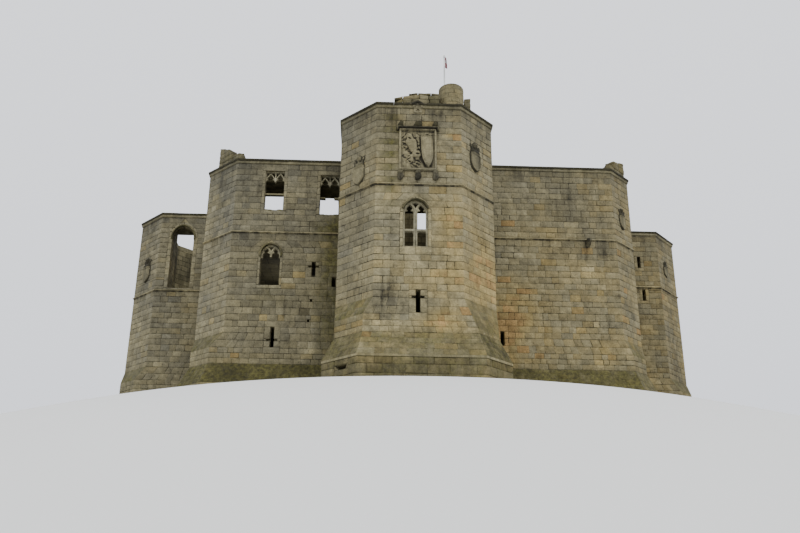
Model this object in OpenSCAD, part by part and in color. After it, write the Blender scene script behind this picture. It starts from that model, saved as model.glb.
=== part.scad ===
// Ruined castle keep: a square block with cut-off corners and a canted turret on each side.
// Millimetres, +Z up, front towards -Y, origin on the ground at the middle of the square block.
// The plan is one outline of 32 points, and every wall, course and coping follows it.

/* [Main block] */
// Width of the square block over its left and right walls
block_w = 19900; // [18000:100:22000]
// Depth of the square block over its front and back walls
block_d = 19800; // [18000:100:22000]
// Height of the block from the ground to the top of its coping
block_h = 11650; // [11400:50:13000]
// Thickness of the block's walls
block_wall = 1800; // [1500:50:1850]
// Cut taken off each left corner
corner_left = 1500; // [1100:50:1800]
// Cut taken off each right corner
corner_right = 1100; // [1100:50:1800]

/* [Front and back turrets] */
// Middle of both turrets, measured along the front
turret_f_x = -430; // [-600:10:600]
// Width over the sides
turret_f_w = 6260; // [5800:20:6800]
// Width of the end wall
turret_f_face = 3400; // [3000:20:3800]
// Distance that the turret stands out from the block
turret_f_out = 5270; // [4800:10:5600]
// Depth of the canted walls
turret_f_cant = 1500; // [1300:10:1700]

/* [Left turret] */
// Width over the sides
turret_l_w = 6680; // [6200:20:7200]
// Width of the end wall
turret_l_face = 3620; // [3200:20:4000]
// Distance that the turret stands out from the block
turret_l_out = 4760; // [4500:10:5200]
// Depth of the canted walls
turret_l_cant = 1420; // [1300:10:1700]
// Height of its coping over the block's
turret_l_rise = 50; // [-100:10:150]
// Top of its string course above the ground
turret_l_string = 7440; // [7000:20:7500]

/* [Right turret] */
// Width over the sides
turret_r_w = 6020; // [5600:20:6600]
// Width of the end wall
turret_r_face = 2840; // [2600:20:3400]
// Distance that the turret stands out from the block
turret_r_out = 4690; // [4400:10:5200]
// Depth of the canted walls
turret_r_cant = 1430; // [1300:10:1700]
// Height by which its coping is lower than the block's
turret_r_drop = 200; // [0:10:220]
// Top of its string course above the ground
turret_r_string = 8310; // [8200:10:8600]

/* [Walls] */
// Thickness of the turret walls
turret_wall = 1300; // [1100:50:1500]
// Depth of the dressed stone frame round each window, from the outer face
reveal = 420; // [350:10:500]
// Extra width of an embrasure on each side, at the inner face
splay = 420; // [250:10:550]
// Extra width of a slit's embrasure on each side, at the inner face
slit_splay = 300; // [200:10:450]

/* [Plinth and spurs] */
// Top of the battered plinth above the ground
plinth_top = 2000; // [1800:20:2200]
// Shoulder where the batter ends
plinth_shoulder = 1070; // [900:10:1200]
// Distance that the plinth stands out from the walls
plinth_out = 450; // [350:10:550]
// Set-off lip over the shoulder: its height
lip_h = 90; // [60:5:120]
// Set-off lip over the shoulder: how far the plinth below it is set back
lip_in = 40; // [20:5:60]
// Top of the spurs on the canted walls
spur_top = 3350; // [3100:10:3500]
// Foot of the spurs, where the widened base starts
spur_foot = 2700; // [2500:10:2900]
// Distance along the wall by which the front turret's left spur widens the base
spur_front = 360; // [250:10:450]
// The same for the spurs at the block's left corners
spur_corner = 550; // [400:10:650]
// The same for the spurs at the block's right corners
spur_right = 350; // [250:10:450]
// The same for the spurs of the other turrets
spur_side = 520; // [400:10:650]
// The front turret's right spur: its foot
long_spur_foot = 2060; // [2040:10:2500]
// The front turret's right spur: distance along the end wall
spur_long = 550; // [400:10:650]

/* [Courses] */
// Top of the block's and the front turret's string course
string_z = 8080; // [8000:10:8200]
// Height of the string course
string_h = 125; // [110:5:200]
// Distance that the string course stands out
string_out = 75; // [50:5:100]
// Height of the coping with its roll
coping_h = 230; // [200:5:260]
// Height of the roll under the coping slab
roll_h = 140; // [100:5:160]
// Distance that the coping slab stands out
coping_out = 100; // [80:5:130]
// Distance that the roll stands out
roll_out = 60; // [40:5:75]
// Width of the small gable in the coping over the carved panel
gable_w = 460; // [400:10:640]
// Height of the gable over the top of the coping
gable_rise = 70; // [60:5:130]
// Distance that the gable stands out
gable_out = 125; // [115:5:150]

/* [Floors] */
// Thickness of the ground floor's paving and bed
ground_floor_t = 250; // [200:10:300]
// Level of the first floor
first_floor_z = 4700; // [4500:50:4900]
// Level of the second floor
second_floor_z = 8300; // [8200:20:8400]
// Thickness of the upper floors
floor_t = 400; // [300:10:500]

/* [Front turret window] */
// Middle of the window, measured from the middle of the end wall
front_window_x = -125; // [-300:5:300]
// Sill above the ground
front_window_sill = 5400; // [5300:10:5600]
// Width of the opening
front_window_w = 970; // [900:10:1000]
// Height from the sill to the springing
front_window_spring = 1440; // [1300:10:1600]
// Rise of the pointed head
front_window_rise = 520; // [510:10:700]
// Height of the transom above the sill
transom_z = 710; // [650:10:760]
// Thickness of the mullions and the transom, seen from the front
bar_w = 125; // [90:5:150]
// Depth of the tracery
tracery_t = 200; // [150:10:240]
// Distance of the tracery behind the wall's face
tracery_back = 110; // [60:5:150]

/* [Pointed hall window] */
// Middle of the window, measured from the left arris of the front wall
hall_window_s = 1770; // [1600:10:2000]
// Sill above the ground
hall_window_sill = 5540; // [5400:10:5700]
// Width of the opening
hall_window_w = 860; // [760:10:900]
// Height from the sill to the springing
hall_window_spring = 1450; // [1300:10:1500]
// Rise of the pointed head
hall_window_rise = 470; // [460:10:600]

/* [Upper windows] */
// Middle of the left one, measured from the left arris of the front wall
upper_left_s = 1750; // [1600:10:2000]
// Sill of the left one above the ground
upper_left_sill = 9100; // [9000:10:9200]
// Middle of the right one, measured from the front turret
upper_right_s = 630; // [620:10:890]
// Sill of the right one above the ground
upper_right_sill = 8950; // [8900:10:9100]
// Width of both openings
upper_w = 860; // [760:10:900]
// Height of both openings
upper_window_h = 1980; // [1800:10:2060]
// Height of the stone plate with the two heads
upper_head_h = 480; // [420:10:560]
// How far the inner lintel hangs below the outer head
inner_drop = 330; // [200:10:450]

/* [Tall turret window] */
// Middle of the window, measured from the left end of the left turret's flank
tall_window_s = 1170; // [1000:10:1300]
// Sill above the ground
tall_window_sill = 7530; // [7510:10:7700]
// Width of the opening
tall_window_w = 1120; // [1000:10:1200]
// Rise of the pointed head
tall_window_rise = 640; // [620:10:700]
// Height of the wall between the window's point and the coping
tall_window_over = 470; // [400:10:700]

/* [Doorway] */
// Middle of the doorway, measured from the right arris of the back wall
door_s = 3000; // [2600:10:3600]
// Width of the doorway
door_w = 1400; // [1200:10:1500]
// Height of the doorway to its springing
door_spring = 1700; // [1500:10:1800]
// Rise of the doorway's pointed head
door_rise = 800; // [760:10:900]

/* [Slits and holes] */
// Width of a slit
slit_w = 170; // [120:10:220]
// Height of a slit
slit_h = 640; // [500:10:900]
// Height of a slit with a cross
cross_h = 900; // [700:10:1000]
// Length of the cross's arm over both sides
cross_arm = 470; // [350:10:520]
// Height of the cross's arm
cross_arm_h = 95; // [70:5:120]

/* [Carved panel] */
// Middle of the panel, measured from the middle of the end wall
panel_x = -50; // [-200:5:200]
// Height of the wall between the string course and the panel
panel_over = 520; // [440:10:640]
// Width over the frame
panel_w = 1520; // [1400:10:1700]
// Height of the wall between the panel's hood and the coping
panel_under = 840; // [640:10:1080]
// Width of the frame's moulding
frame_w = 110; // [80:5:140]
// Distance that the frame stands out
frame_out = 110; // [80:5:150]
// Distance that the slab inside the frame stands out
slab_out = 30; // [15:5:50]
// Distance that the hood stands out
hood_out = 190; // [150:5:240]
// Height of the hood
hood_h = 110; // [80:5:140]
// Width of the largest shields
shield_w = 620; // [500:10:700]
// Height of the largest shields, without the carving over them
shield_h = 780; // [700:10:900]
// Distance that a shield stands out
shield_out = 130; // [90:5:160]

/* [Stack, pole and flag] */
// Middle of the stack, measured from the middle of the end wall
stack_x = 1370; // [1200:10:1400]
// Diameter of the stack
stack_d = 1050; // [900:10:1060]
// Height of the stack above the coping
stack_h = 1120; // [1000:10:1400]
// Radius of the stack's shoulder
stack_round = 190; // [120:10:240]
// Distance from the wall's face to the stack's middle
stack_in = 560; // [500:10:620]
// Middle of the flagpole, measured from the middle of the end wall
pole_x = 1160; // [1000:10:1400]
// Diameter of the flagpole
pole_d = 64; // [50:2:90]
// Height of the flagpole above the coping
pole_h = 3150; // [2800:50:3600]
// Clear distance from the back of the stack to the flagpole
pole_gap = 90; // [40:10:120]
// Height of the flag as it hangs
flag_h = 620; // [500:10:800]
// Width of the flag's folds as they hang
flag_w = 150; // [110:5:220]

/* [Hidden] */
$fn = 48;
// Overrun of a cut past the face that it leaves
over = 50;
panel_z = string_z + panel_over;
panel_h = block_h - coping_h - panel_under - hood_h - panel_z;
half_w = block_w / 2;
half_d = block_d / 2;
wall_colour = [0.60, 0.56, 0.44];
dressed_colour = [0.66, 0.62, 0.50];
floor_colour = [0.48, 0.46, 0.40];

// Outline of a turret that stands out towards -Y from the line y = 0, left to right
function turret_line(w, face, out, cant, wide_l, wide_r) = let (leg = (w - face) / 2) [
    [-w / 2, 0],
    [-w / 2, -(out - cant * (1 - wide_l / leg))],
    [-face / 2 - wide_l, -out],
    [face / 2 + wide_r, -out],
    [w / 2, -(out - cant * (1 - wide_r / leg))],
    [w / 2, 0]];
function turned(p, a) = [p.x * cos(a) - p.y * sin(a), p.x * sin(a) + p.y * cos(a)];
function placed(line, a, at) = [for (p = line) turned(p, a) + at];

// Corner of the block, cut off by c; q is 0 at front left and goes round by quarter turns
function cut_corner(x, y, c, q) =
    q == 0 ? [[-x, -y + c], [-x + c, -y]] :
    q == 1 ? [[x - c, -y], [x, -y + c]] :
    q == 2 ? [[x, y - c], [x - c, y]] : [[-x + c, y], [-x, y - c]];

// Whole outline, anticlockwise from the front left corner; at spread 1 the spurs fill the corners
function outline(spread) = let (c = spread * spur_corner, d = spread * spur_right, t = spread * spur_side) concat(
    cut_corner(half_w, half_d, corner_left - c, 0),
    placed(turret_line(turret_f_w, turret_f_face, turret_f_out, turret_f_cant,
        spread * spur_front, spread * spur_long), 0, [turret_f_x, -half_d]),
    cut_corner(half_w, half_d, corner_right - d, 1),
    placed(turret_line(turret_r_w, turret_r_face, turret_r_out, turret_r_cant, t, t), 90, [half_w, 0]),
    cut_corner(half_w, half_d, corner_right - d, 2),
    placed(turret_line(turret_f_w, turret_f_face, turret_f_out, turret_f_cant, t, t),
        180, [turret_f_x, half_d]),
    cut_corner(half_w, half_d, corner_left - c, 3),
    placed(turret_line(turret_l_w, turret_l_face, turret_l_out, turret_l_cant, t, t), 270, [-half_w, 0]));

upper = outline(0);
base = outline(1);
points = len(upper);

function at(i) = (i + points) % points;
function nx(i) = at(i + 1);
function pv(i) = at(i - 1);
function way(line, i) = let (d = line[nx(i)] - line[i]) d / norm(d);
function outward(line, i) = let (d = way(line, i)) [d.y, -d.x];
// Point i of the outline moved out by d, along the mitre of its two sides
function mitre(line, i, d) = let (a = outward(line, pv(i)), b = outward(line, i))
    line[i] + d * (a + b) / (1 + a * b);
// A turret meets the block at these points
function joins(i) = i % 8 == 2 || i % 8 == 7;
function in_turret(i) = i % 8 >= 2 && i % 8 <= 6;
function thick(i) = in_turret(i) ? turret_wall : block_wall;
// Point of wall i at outline point k, moved in by t; a wall ends square where a turret joins
function inset(i, k, t) = joins(k) ? upper[k] - t * outward(upper, i) : mitre(upper, k, -t);
function inner(i, k) = inset(i, k, thick(i));
function top_of(i) = !in_turret(i) ? block_h :
    i < 8 ? block_h : i < 16 ? block_h - turret_r_drop : i < 24 ? block_h : block_h + turret_l_rise;
function string_of(i) = !in_turret(i) ? string_z :
    i < 8 ? string_z : i < 16 ? turret_r_string : i < 24 ? string_z : turret_l_string;
function side_length(i) = norm(upper[nx(i)] - upper[i]);

// Plan of wall i at its full thickness
module wall_plan(i) {
    polygon([upper[i], upper[nx(i)], inner(i, nx(i)), inner(i, i)]);
}

// Strip along side i of an outline, from the face out to d
module strip(line, i, d) {
    polygon([line[i], line[nx(i)], mitre(line, nx(i), d), mitre(line, i, d)]);
}

// Places children on side i: x along the wall from its left end, y into the wall, z up
module on_side(i, s, z) {
    d = way(upper, i);
    p = upper[i] + s * d;
    translate([p.x, p.y, z]) rotate([0, 0, atan2(d.y, d.x)]) children();
}

// Plan of what stands in front of wall i, out to d, with a tail that bonds into the wall
bond = 60;
module foot_plan(i, d) {
    tail_l = inset(i, i, bond) + bond * way(upper, i);
    tail_r = inset(i, nx(i), bond) - bond * way(upper, i);
    polygon([mitre(base, i, d), mitre(base, nx(i), d), base[nx(i)], upper[nx(i)], tail_r, tail_l, upper[i], base[i]]);
}

// Solid with section pts (out from side i of the outline, up), longer than the side and deeper than the wall
reach_out = 3000;
module along(line, i, pts) {
    d = way(line, i);
    p = pts[len(pts) - 1];
    translate([line[i].x, line[i].y, 0]) rotate([0, 0, atan2(d.y, d.x)]) translate([-reach_out, 0, 0])
        rotate([90, 0, 90]) linear_extrude(norm(line[nx(i)] - line[i]) + reach_out * 2)
            polygon([for (q = concat(pts, [[-reach_out, p.y], [-reach_out, pts[0].y]])) [-q.x, q.y]]);
}

// A line from a to b in a section, carried on past both ends by e across
function run_on(a, b, e) = let (k = (b.y - a.y) / (b.x - a.x)) [[a.x + e, a.y + e * k], [b.x - e, b.y - e * k]];

// Battered plinth in front of wall i, mitred at both ends
module plinth(i) {
    lower = plinth_out - lip_in;
    lip = plinth_shoulder - lip_h;
    batter = run_on([plinth_out, plinth_shoulder], [0, plinth_top], bond + over);
    intersection() {
        linear_extrude(batter[1].y + over) foot_plan(i, plinth_out);
        along(base, i, concat([[lower, -over], [lower, lip], [batter[0].x, lip]], batter));
    }
}

// Spur on canted wall i: the base is wider, and a sloped face leads back to the upper wall
module spur(i) {
    reach = (base[i] - upper[i]) * outward(upper, i);
    foot = i == 5 ? long_spur_foot : spur_foot;
    slope = run_on([reach, foot], [0, spur_top], bond + over);
    intersection() {
        linear_extrude(slope[1].y + over) foot_plan(i, 0);
        along(upper, i, concat([[slope[0].x, -over]], slope));
    }
}

// Wall i from the ground to the underside of its coping, with plinth and spur
function canted(i) = i % 8 == 0 || i % 8 == 3 || i % 8 == 5;
module wall(i) {
    linear_extrude(top_of(i) - coping_h) wall_plan(i);
    plinth(i);
    if (canted(i)) spur(i);
}

// Pointed opening of width w, its two arcs meeting at the apex
module pointed(w, spring, rise) {
    a = w / 2;
    c = round((rise * rise - a * a) / w);
    translate([-a, 0]) square([w, spring]);
    intersection() {
        translate([c, spring]) circle(a + c);
        translate([-c, spring]) circle(a + c);
        translate([-a, spring]) square([w, rise + 2]);
    }
}

// Extrudes a front view from depth y0 to depth y1 inside a wall
module depth(y0, y1) {
    translate([0, y1, 0]) rotate([90, 0, 0]) linear_extrude(y1 - y0) children();
}

// Splayed embrasure from the back of the frame to the inner face
module embrasure(w, h, wider, t, from) {
    linear_extrude(h) polygon([[-w / 2, from - 1], [w / 2, from - 1], [w / 2 + wider, t + over],
        [-w / 2 - wider, t + over]]);
}

module pointed_cut(w, spring, rise, t, wider = splay) {
    depth(-over, reveal) pointed(w, spring, rise);
    embrasure(w, spring + rise, wider, t, reveal);
}

module square_cut(w, h, t) {
    depth(-over, reveal) translate([-w / 2, 0]) square([w, h]);
    embrasure(w, h - inner_drop, splay, t, reveal);
}

module slit_cut(h, t) {
    depth(-over, reveal) translate([-slit_w / 2, 0]) square([slit_w, h]);
    embrasure(slit_w, h, slit_splay, t, reveal);
}

// Slit with a cross arm at height arm_z
module cross_cut(h, arm_z, t) {
    slit_cut(h, t);
    depth(-over, reveal / 2) translate([-cross_arm / 2, arm_z]) square([cross_arm, cross_arm_h]);
}

module front_window_cut(i) {
    on_side(i, side_length(i) / 2 + front_window_x, front_window_sill)
        pointed_cut(front_window_w, front_window_spring, front_window_rise, turret_wall);
}

module hall_window_cut(i, s) {
    on_side(i, s, hall_window_sill)
        pointed_cut(hall_window_w, hall_window_spring, hall_window_rise, block_wall);
}

module upper_window_cut(i, s, sill) {
    on_side(i, s, sill) square_cut(upper_w, upper_window_h, block_wall);
}

// The tall window stands close to the turret's corner, so its embrasure widens less
tall_splay = 60;
module tall_window_cut(i, s) {
    on_side(i, s, tall_window_sill)
        pointed_cut(tall_window_w, top_of(i) - coping_h - tall_window_over - tall_window_rise - tall_window_sill,
            tall_window_rise, turret_wall, tall_splay);
}

// Small square holes left by scaffolding
hole_w = 110;
module putlog(i, s, z) {
    on_side(i, s, z) depth(-over, reveal) square(hole_w, center = true);
}

slit_low_z = 2740;
slit_mid_z = 5960;
slit_high_z = 9300;
function cross_low(h) = h * 0.3;
function cross_mid(h) = h * 0.62;
// Middles of the slits of the hall's outer walls, measured from the left end of the wall
hall_cross_s = 2060;
mid_cross_s = side_length(1) - 1195;
mid_cross_h = 700;
short_slit_s = side_length(1) - 290;
short_slit_z = 5510;
short_slit_h = 460;
right_slit_s = 830;
right_slit_z = 3010;

module front_wall_left() {
    color(wall_colour) difference() {
        wall(1);
        hall_window_cut(1, hall_window_s);
        upper_window_cut(1, upper_left_s, upper_left_sill);
        upper_window_cut(1, side_length(1) - upper_right_s, upper_right_sill);
        on_side(1, hall_cross_s, slit_low_z) cross_cut(cross_h, cross_low(cross_h), block_wall);
        on_side(1, mid_cross_s, slit_mid_z) cross_cut(mid_cross_h, cross_mid(mid_cross_h), block_wall);
        on_side(1, short_slit_s, short_slit_z) slit_cut(short_slit_h, block_wall);
        putlog(1, mid_cross_s - 45, 4860);
        putlog(1, mid_cross_s - 125, 3940);
    }
}

module front_wall_right() {
    color(wall_colour) difference() {
        wall(7);
        on_side(7, right_slit_s, right_slit_z) slit_cut(slit_h, block_wall);
    }
}

// Wall with two slits over each other in its middle
module slit_wall(i) {
    difference() {
        wall(i);
        for (z = [slit_low_z, slit_high_z]) on_side(i, side_length(i) / 2, z) slit_cut(slit_h, block_wall);
    }
}

module right_walls() {
    color(wall_colour) {
        slit_wall(9);
        slit_wall(15);
    }
}

module left_walls() {
    color(wall_colour) {
        slit_wall(25);
        slit_wall(31);
    }
}

module back_wall_right() {
    color(wall_colour) difference() {
        wall(17);
        upper_window_cut(17, door_s, upper_left_sill);
        on_side(17, door_s, ground_floor_t) {
            depth(-plinth_out - over, reveal) pointed(door_w, door_spring, door_rise);
            embrasure(door_w, door_spring + door_rise, splay, block_wall, reveal);
        }
    }
}

module back_wall_left() {
    color(wall_colour) difference() {
        wall(23);
        hall_window_cut(23, side_length(23) - hall_window_s);
        upper_window_cut(23, side_length(23) - upper_left_s, upper_left_sill);
        on_side(23, side_length(23) - hall_cross_s, slit_low_z) cross_cut(cross_h, cross_low(cross_h), block_wall);
    }
}

module corner_walls() {
    color(wall_colour) for (i = [0, 8, 16, 24]) wall(i);
}

// Openings from the block into a turret, one above the other
passage_w = 1300;
passage_h = 2300;
module inner_wall(i, passages) {
    p = upper[i];
    q = upper[i + 5];
    n = outward(upper, pv(i)) * block_wall;
    h = block_h - coping_h;
    color(wall_colour) difference() {
        linear_extrude(h) polygon([p, q, q - n, p - n]);
        for (k = passages) translate([p.x, p.y, k.y]) rotate([0, 0, atan2((q - p).y, (q - p).x)])
            translate([norm(q - p) / 2 + k.x - passage_w / 2, -over, 0])
                cube([passage_w, block_wall + 2 * over, passage_h]);
    }
}

ground_way = [0, ground_floor_t];
first_way = [0, first_floor_z];
second_way = [0, second_floor_z];
front_high_way = [780, second_floor_z];

module front_inner_wall() {
    inner_wall(2, [ground_way, first_way, front_high_way]);
}

module right_inner_wall() {
    inner_wall(10, [ground_way, first_way, second_way]);
}

module back_inner_wall() {
    inner_wall(18, [ground_way, first_way, second_way]);
}

module left_inner_wall() {
    inner_wall(26, [ground_way, first_way]);
}

// Cross slit of the front turret's end wall, and its bottom above the ground
turret_cross_s = 1680;
turret_cross_z = 2770;
module front_turret_face() {
    color(wall_colour) difference() {
        wall(4);
        front_window_cut(4);
        on_side(4, turret_cross_s, turret_cross_z) cross_cut(cross_h, cross_mid(cross_h), turret_wall);
    }
}

module back_turret_face() {
    color(wall_colour) difference() {
        wall(20);
        front_window_cut(20);
        on_side(20, side_length(20) / 2, turret_cross_z) cross_cut(cross_h, cross_mid(cross_h), turret_wall);
    }
}

module right_turret_face() {
    color(wall_colour) difference() {
        wall(12);
        on_side(12, side_length(12) / 2, slit_high_z) slit_cut(slit_h, turret_wall);
        on_side(12, side_length(12) / 2, slit_low_z) slit_cut(slit_h, turret_wall);
    }
}

module left_turret_face() {
    color(wall_colour) difference() {
        wall(28);
        on_side(28, side_length(28) / 2, slit_low_z) slit_cut(slit_h, turret_wall);
    }
}

// Vent in the plinth of the front turret's left canted wall, wider at its top
vent_s = 1180;
vent_z = 600;
vent_h = 180;
vent_w = 460;
vent_top_w = 690;
module front_turret_cants() {
    color(wall_colour) {
        difference() {
            wall(3);
            on_side(3, vent_s, vent_z) depth(-plinth_out * 2, reveal)
                polygon([[-vent_w / 2, 0], [vent_w / 2, 0], [vent_top_w / 2, vent_h], [-vent_top_w / 2, vent_h]]);
        }
        wall(5);
    }
}

module front_turret_sides() {
    color(wall_colour) for (i = [2, 6]) wall(i);
}

module right_turret_cants() {
    color(wall_colour) for (i = [11, 13]) wall(i);
}

// Slits in the right turret's sides, measured from the block
side_slit_s = 2215;
side_slit_z = 9350;
side_slit_low_s = 2335;
side_slit_low_z = 7500;
module right_turret_sides() {
    color(wall_colour) {
        difference() {
            wall(10);
            on_side(10, side_slit_s, side_slit_z) slit_cut(slit_h, turret_wall);
            on_side(10, side_slit_low_s, side_slit_low_z) slit_cut(slit_h, turret_wall);
        }
        difference() {
            wall(14);
            on_side(14, side_length(14) - side_slit_s, side_slit_z) slit_cut(slit_h, turret_wall);
        }
    }
}

module back_turret_cants() {
    color(wall_colour) for (i = [19, 21]) wall(i);
}

module back_turret_sides() {
    color(wall_colour) for (i = [18, 22]) wall(i);
}

module left_turret_cants() {
    color(wall_colour) for (i = [27, 29]) wall(i);
}

module left_turret_sides() {
    color(wall_colour) {
        difference() {
            wall(30);
            tall_window_cut(30, tall_window_s);
        }
        difference() {
            wall(26);
            tall_window_cut(26, side_length(26) - tall_window_s);
        }
    }
}

// Inside of the block between its walls, and inside of the turret whose first point is i
module block_room() {
    polygon([for (k = [0, 1, 8, 9, 16, 17, 24, 25]) mitre(upper, k, -block_wall)]);
}

module turret_room(i) {
    polygon([inner(i, i), inner(i + 1, i + 1), inner(i + 2, i + 2), inner(i + 2, i + 3),
        inner(i + 3, i + 4), inner(i + 4, i + 5)]);
}

module floor_slabs(z, t, turrets) {
    color(floor_colour) translate([0, 0, z - t]) linear_extrude(t) {
        block_room();
        for (i = turrets) turret_room(i);
    }
}

module ground_floor() {
    floor_slabs(ground_floor_t, ground_floor_t, [2, 10, 18, 26]);
}

module first_floor() {
    floor_slabs(first_floor_z, floor_t, [2, 10, 18, 26]);
}

module second_floor() {
    floor_slabs(second_floor_z, floor_t, [10, 18]);
}

// Plan of the coping on one side of the block, walls first to last, and d beyond their faces;
// behind the turret whose first point is i it ends at the turret
module block_band(i, first, last, d) {
    polygon(concat(
        [for (k = [first : i]) mitre(upper, at(k), d)],
        [upper[i], upper[i + 5]],
        [for (k = [i + 5 : last + 1]) mitre(upper, at(k), d)],
        [for (k = [last : -1 : i + 6]) inner(at(k), at(k + 1))],
        [inner(i + 5, at(i + 6)), inner(i - 1, i - 1)],
        [for (k = [i - 2 : -1 : first]) inner(at(k), at(k))]));
}

// Plan of the coping on a turret
module turret_band(i, d) {
    polygon(concat([upper[i]], [for (k = [i : i + 5]) mitre(upper, k, d)], [upper[i + 5]],
        [for (k = [i + 4 : -1 : i]) inner(k, k + 1)], [inner(i, i)]));
}

// Coping of one side: the slab stands out further than the roll below it
module side_coping(i, first, last) {
    color(dressed_colour) {
        translate([0, 0, block_h - coping_h]) {
            linear_extrude(coping_h) block_band(i, first, last, roll_out);
            translate([0, 0, roll_h]) linear_extrude(coping_h - roll_h) block_band(i, first, last, coping_out);
        }
        translate([0, 0, top_of(i) - coping_h]) {
            linear_extrude(coping_h) turret_band(i, roll_out);
            translate([0, 0, roll_h]) linear_extrude(coping_h - roll_h) turret_band(i, coping_out);
        }
    }
}

// Clear joint between the gable and the parapet behind it
seat = 0.3;
module gable() {
    color(dressed_colour) on_side(4, side_length(4) / 2 + panel_x, top_of(4) - coping_h) depth(-gable_out, -seat)
        polygon([[-gable_w / 2, 0], [gable_w / 2, 0], [gable_w / 2, roll_h / 2], [0, coping_h + gable_rise],
            [-gable_w / 2, roll_h / 2]]);
}

module coping_front() {
    side_coping(2, 0, 8);
    gable();
}

module coping_right() {
    side_coping(10, 9, 15);
}

module coping_back() {
    side_coping(18, 16, 24);
}

module coping_left() {
    side_coping(26, 25, 31);
}

module string_course() {
    color(dressed_colour) for (i = [0 : points - 1]) translate([0, 0, string_of(i) - string_h])
        linear_extrude(string_h) strip(upper, i, string_out);
}

// Broken stump of the parapet on side i: s, back, t and the outline's points count in steps
step = stack_d / 21;
stump_t = 9.5;
module stump(i, s, back, t, pts) {
    on_side(i, s * step, top_of(i)) depth(back * step, (back + t) * step) polygon(step * pts);
}

// Stump that goes round the arris after side i: from s on side i to t on the next, h high
module corner_stump(i, s, t, h) {
    k = nx(i);
    d = way(upper, i);
    e = way(upper, k);
    from = upper[i] + s * step * d;
    to = upper[k] + t * step * e;
    color(wall_colour) translate([0, 0, top_of(i)]) linear_extrude(h * step)
        polygon([from, upper[k], to, to - stump_t * step * outward(upper, k), mitre(upper, k, -stump_t * step),
            from - stump_t * step * outward(upper, i)]);
}

module parapet_front() {
    color(wall_colour) {
        stump(4, 14, 0, stump_t, [[0, 0], [36, 0], [36, 10.6], [30, 10.6], [29.4, 8], [24, 8.4], [19.8, 10.8],
            [13.6, 7.4], [10, 8], [7.4, 7.6], [3.2, 3], [0, 0.8]]);
        stump(4, (side_length(4) / 2 + stack_x) / step + 11, 11, 6.3, [[0, 0], [5.4, 0], [5.4, 13.6], [0, 13.2]]);
    }
}

module parapet_corners() {
    color(wall_colour) {
        stump(0, 11.2, 0, stump_t, [[0, 0], [15, 0], [15, 16], [0, 21.6]]);
        stump(0, 26.4, 0, stump_t, [[0, 0], [6.2, 0], [6.2, 10], [0, 12.6]]);
        stump(8, 9.2, 0, stump_t, [[0, 0], [19.8, 0], [19.8, 16.6], [0, 12]]);
    }
    corner_stump(0, 32.8, 5, 6.6);
    corner_stump(7, side_length(7) / step - 3, 9, 5.6);
}

module round_stack() {
    r = stack_d / 2;
    color(wall_colour) on_side(4, side_length(4) / 2 + stack_x, top_of(4)) translate([0, stack_in, 0])
        rotate_extrude() {
            square([r, stack_h - stack_round]);
            square([r - stack_round, stack_h]);
            translate([r - stack_round, stack_h - stack_round]) intersection() {
                circle(stack_round);
                square(stack_round);
            }
        }
}

pole_y = stack_in + stack_d / 2 + pole_gap;
module at_pole() {
    on_side(4, side_length(4) / 2 + pole_x, top_of(4)) translate([0, pole_y, 0]) children();
}

pole_foot_d = 150;
pole_foot_h = 260;
module flagpole() {
    color("gainsboro") at_pole() {
        cylinder(h = pole_h, d = pole_d);
        cylinder(h = pole_foot_h, d = pole_foot_d);
        translate([0, 0, pole_h - 1]) cylinder(h = 30, d = pole_d * 1.5);
    }
}

flag_t = 40;
flag_under = 40;
module flag() {
    color("firebrick") at_pole() translate([pole_d / 2, -flag_t / 2, pole_h - flag_h - flag_under])
        cube([flag_w, flag_t, flag_h]);
}

// One light with a cusped head: w wide, h to its springing
module light(w, h) {
    r = w * 0.27;
    translate([-w / 2, 0]) square([w, h]);
    for (x = [-1, 1]) translate([x * (w / 2 - r), h + r * 0.4]) circle(r);
    translate([0, h + r * 1.4]) circle(r);
}

module turret_tracery() {
    lw = (front_window_w - 3 * bar_w) / 2;
    depth(tracery_back, tracery_back + tracery_t) difference() {
        pointed(front_window_w, front_window_spring, front_window_rise);
        for (x = [-1, 1]) translate([x * (lw + bar_w) / 2, 0]) {
            translate([-lw / 2, bar_w * 0.6]) square([lw, transom_z - bar_w * 0.6]);
            translate([0, transom_z + bar_w]) light(lw, front_window_spring - transom_z - bar_w - lw * 0.1);
        }
        translate([0, front_window_spring + front_window_rise * 0.57]) circle(bar_w * 0.55);
    }
}

module front_window() {
    color(dressed_colour) on_side(4, side_length(4) / 2 + front_window_x, front_window_sill) turret_tracery();
}

module back_window() {
    color(dressed_colour) on_side(20, side_length(20) / 2 + front_window_x, front_window_sill) turret_tracery();
}

// Head of a two-light pointed window whose mullion has gone
module hall_tracery() {
    lw = (hall_window_w - bar_w) / 2;
    depth(tracery_back, tracery_back + tracery_t) difference() {
        pointed(hall_window_w, hall_window_spring, hall_window_rise);
        translate([-hall_window_w, -1]) square([hall_window_w * 2, hall_window_spring * 0.86]);
        for (x = [-1, 1]) translate([x * lw * 0.52, hall_window_spring * 0.5])
            light(lw * 0.86, hall_window_spring * 0.42);
        translate([0, hall_window_spring + hall_window_rise * 0.45]) circle(bar_w * 0.5);
    }
}

module pointed_window() {
    color(dressed_colour) on_side(1, hall_window_s, hall_window_sill) hall_tracery();
}

// Stone plate of a square window with two cusped heads and the stub of the lost mullion
module upper_tracery() {
    lw = (upper_w - bar_w) / 2;
    low = upper_window_h - upper_head_h;
    depth(tracery_back, tracery_back + tracery_t) difference() {
        translate([-upper_w / 2, low]) square([upper_w, upper_head_h]);
        for (x = [-1, 1]) translate([x * (lw + bar_w) / 2, low - 1]) light(lw * 0.9, upper_head_h * 0.3);
    }
}

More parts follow.
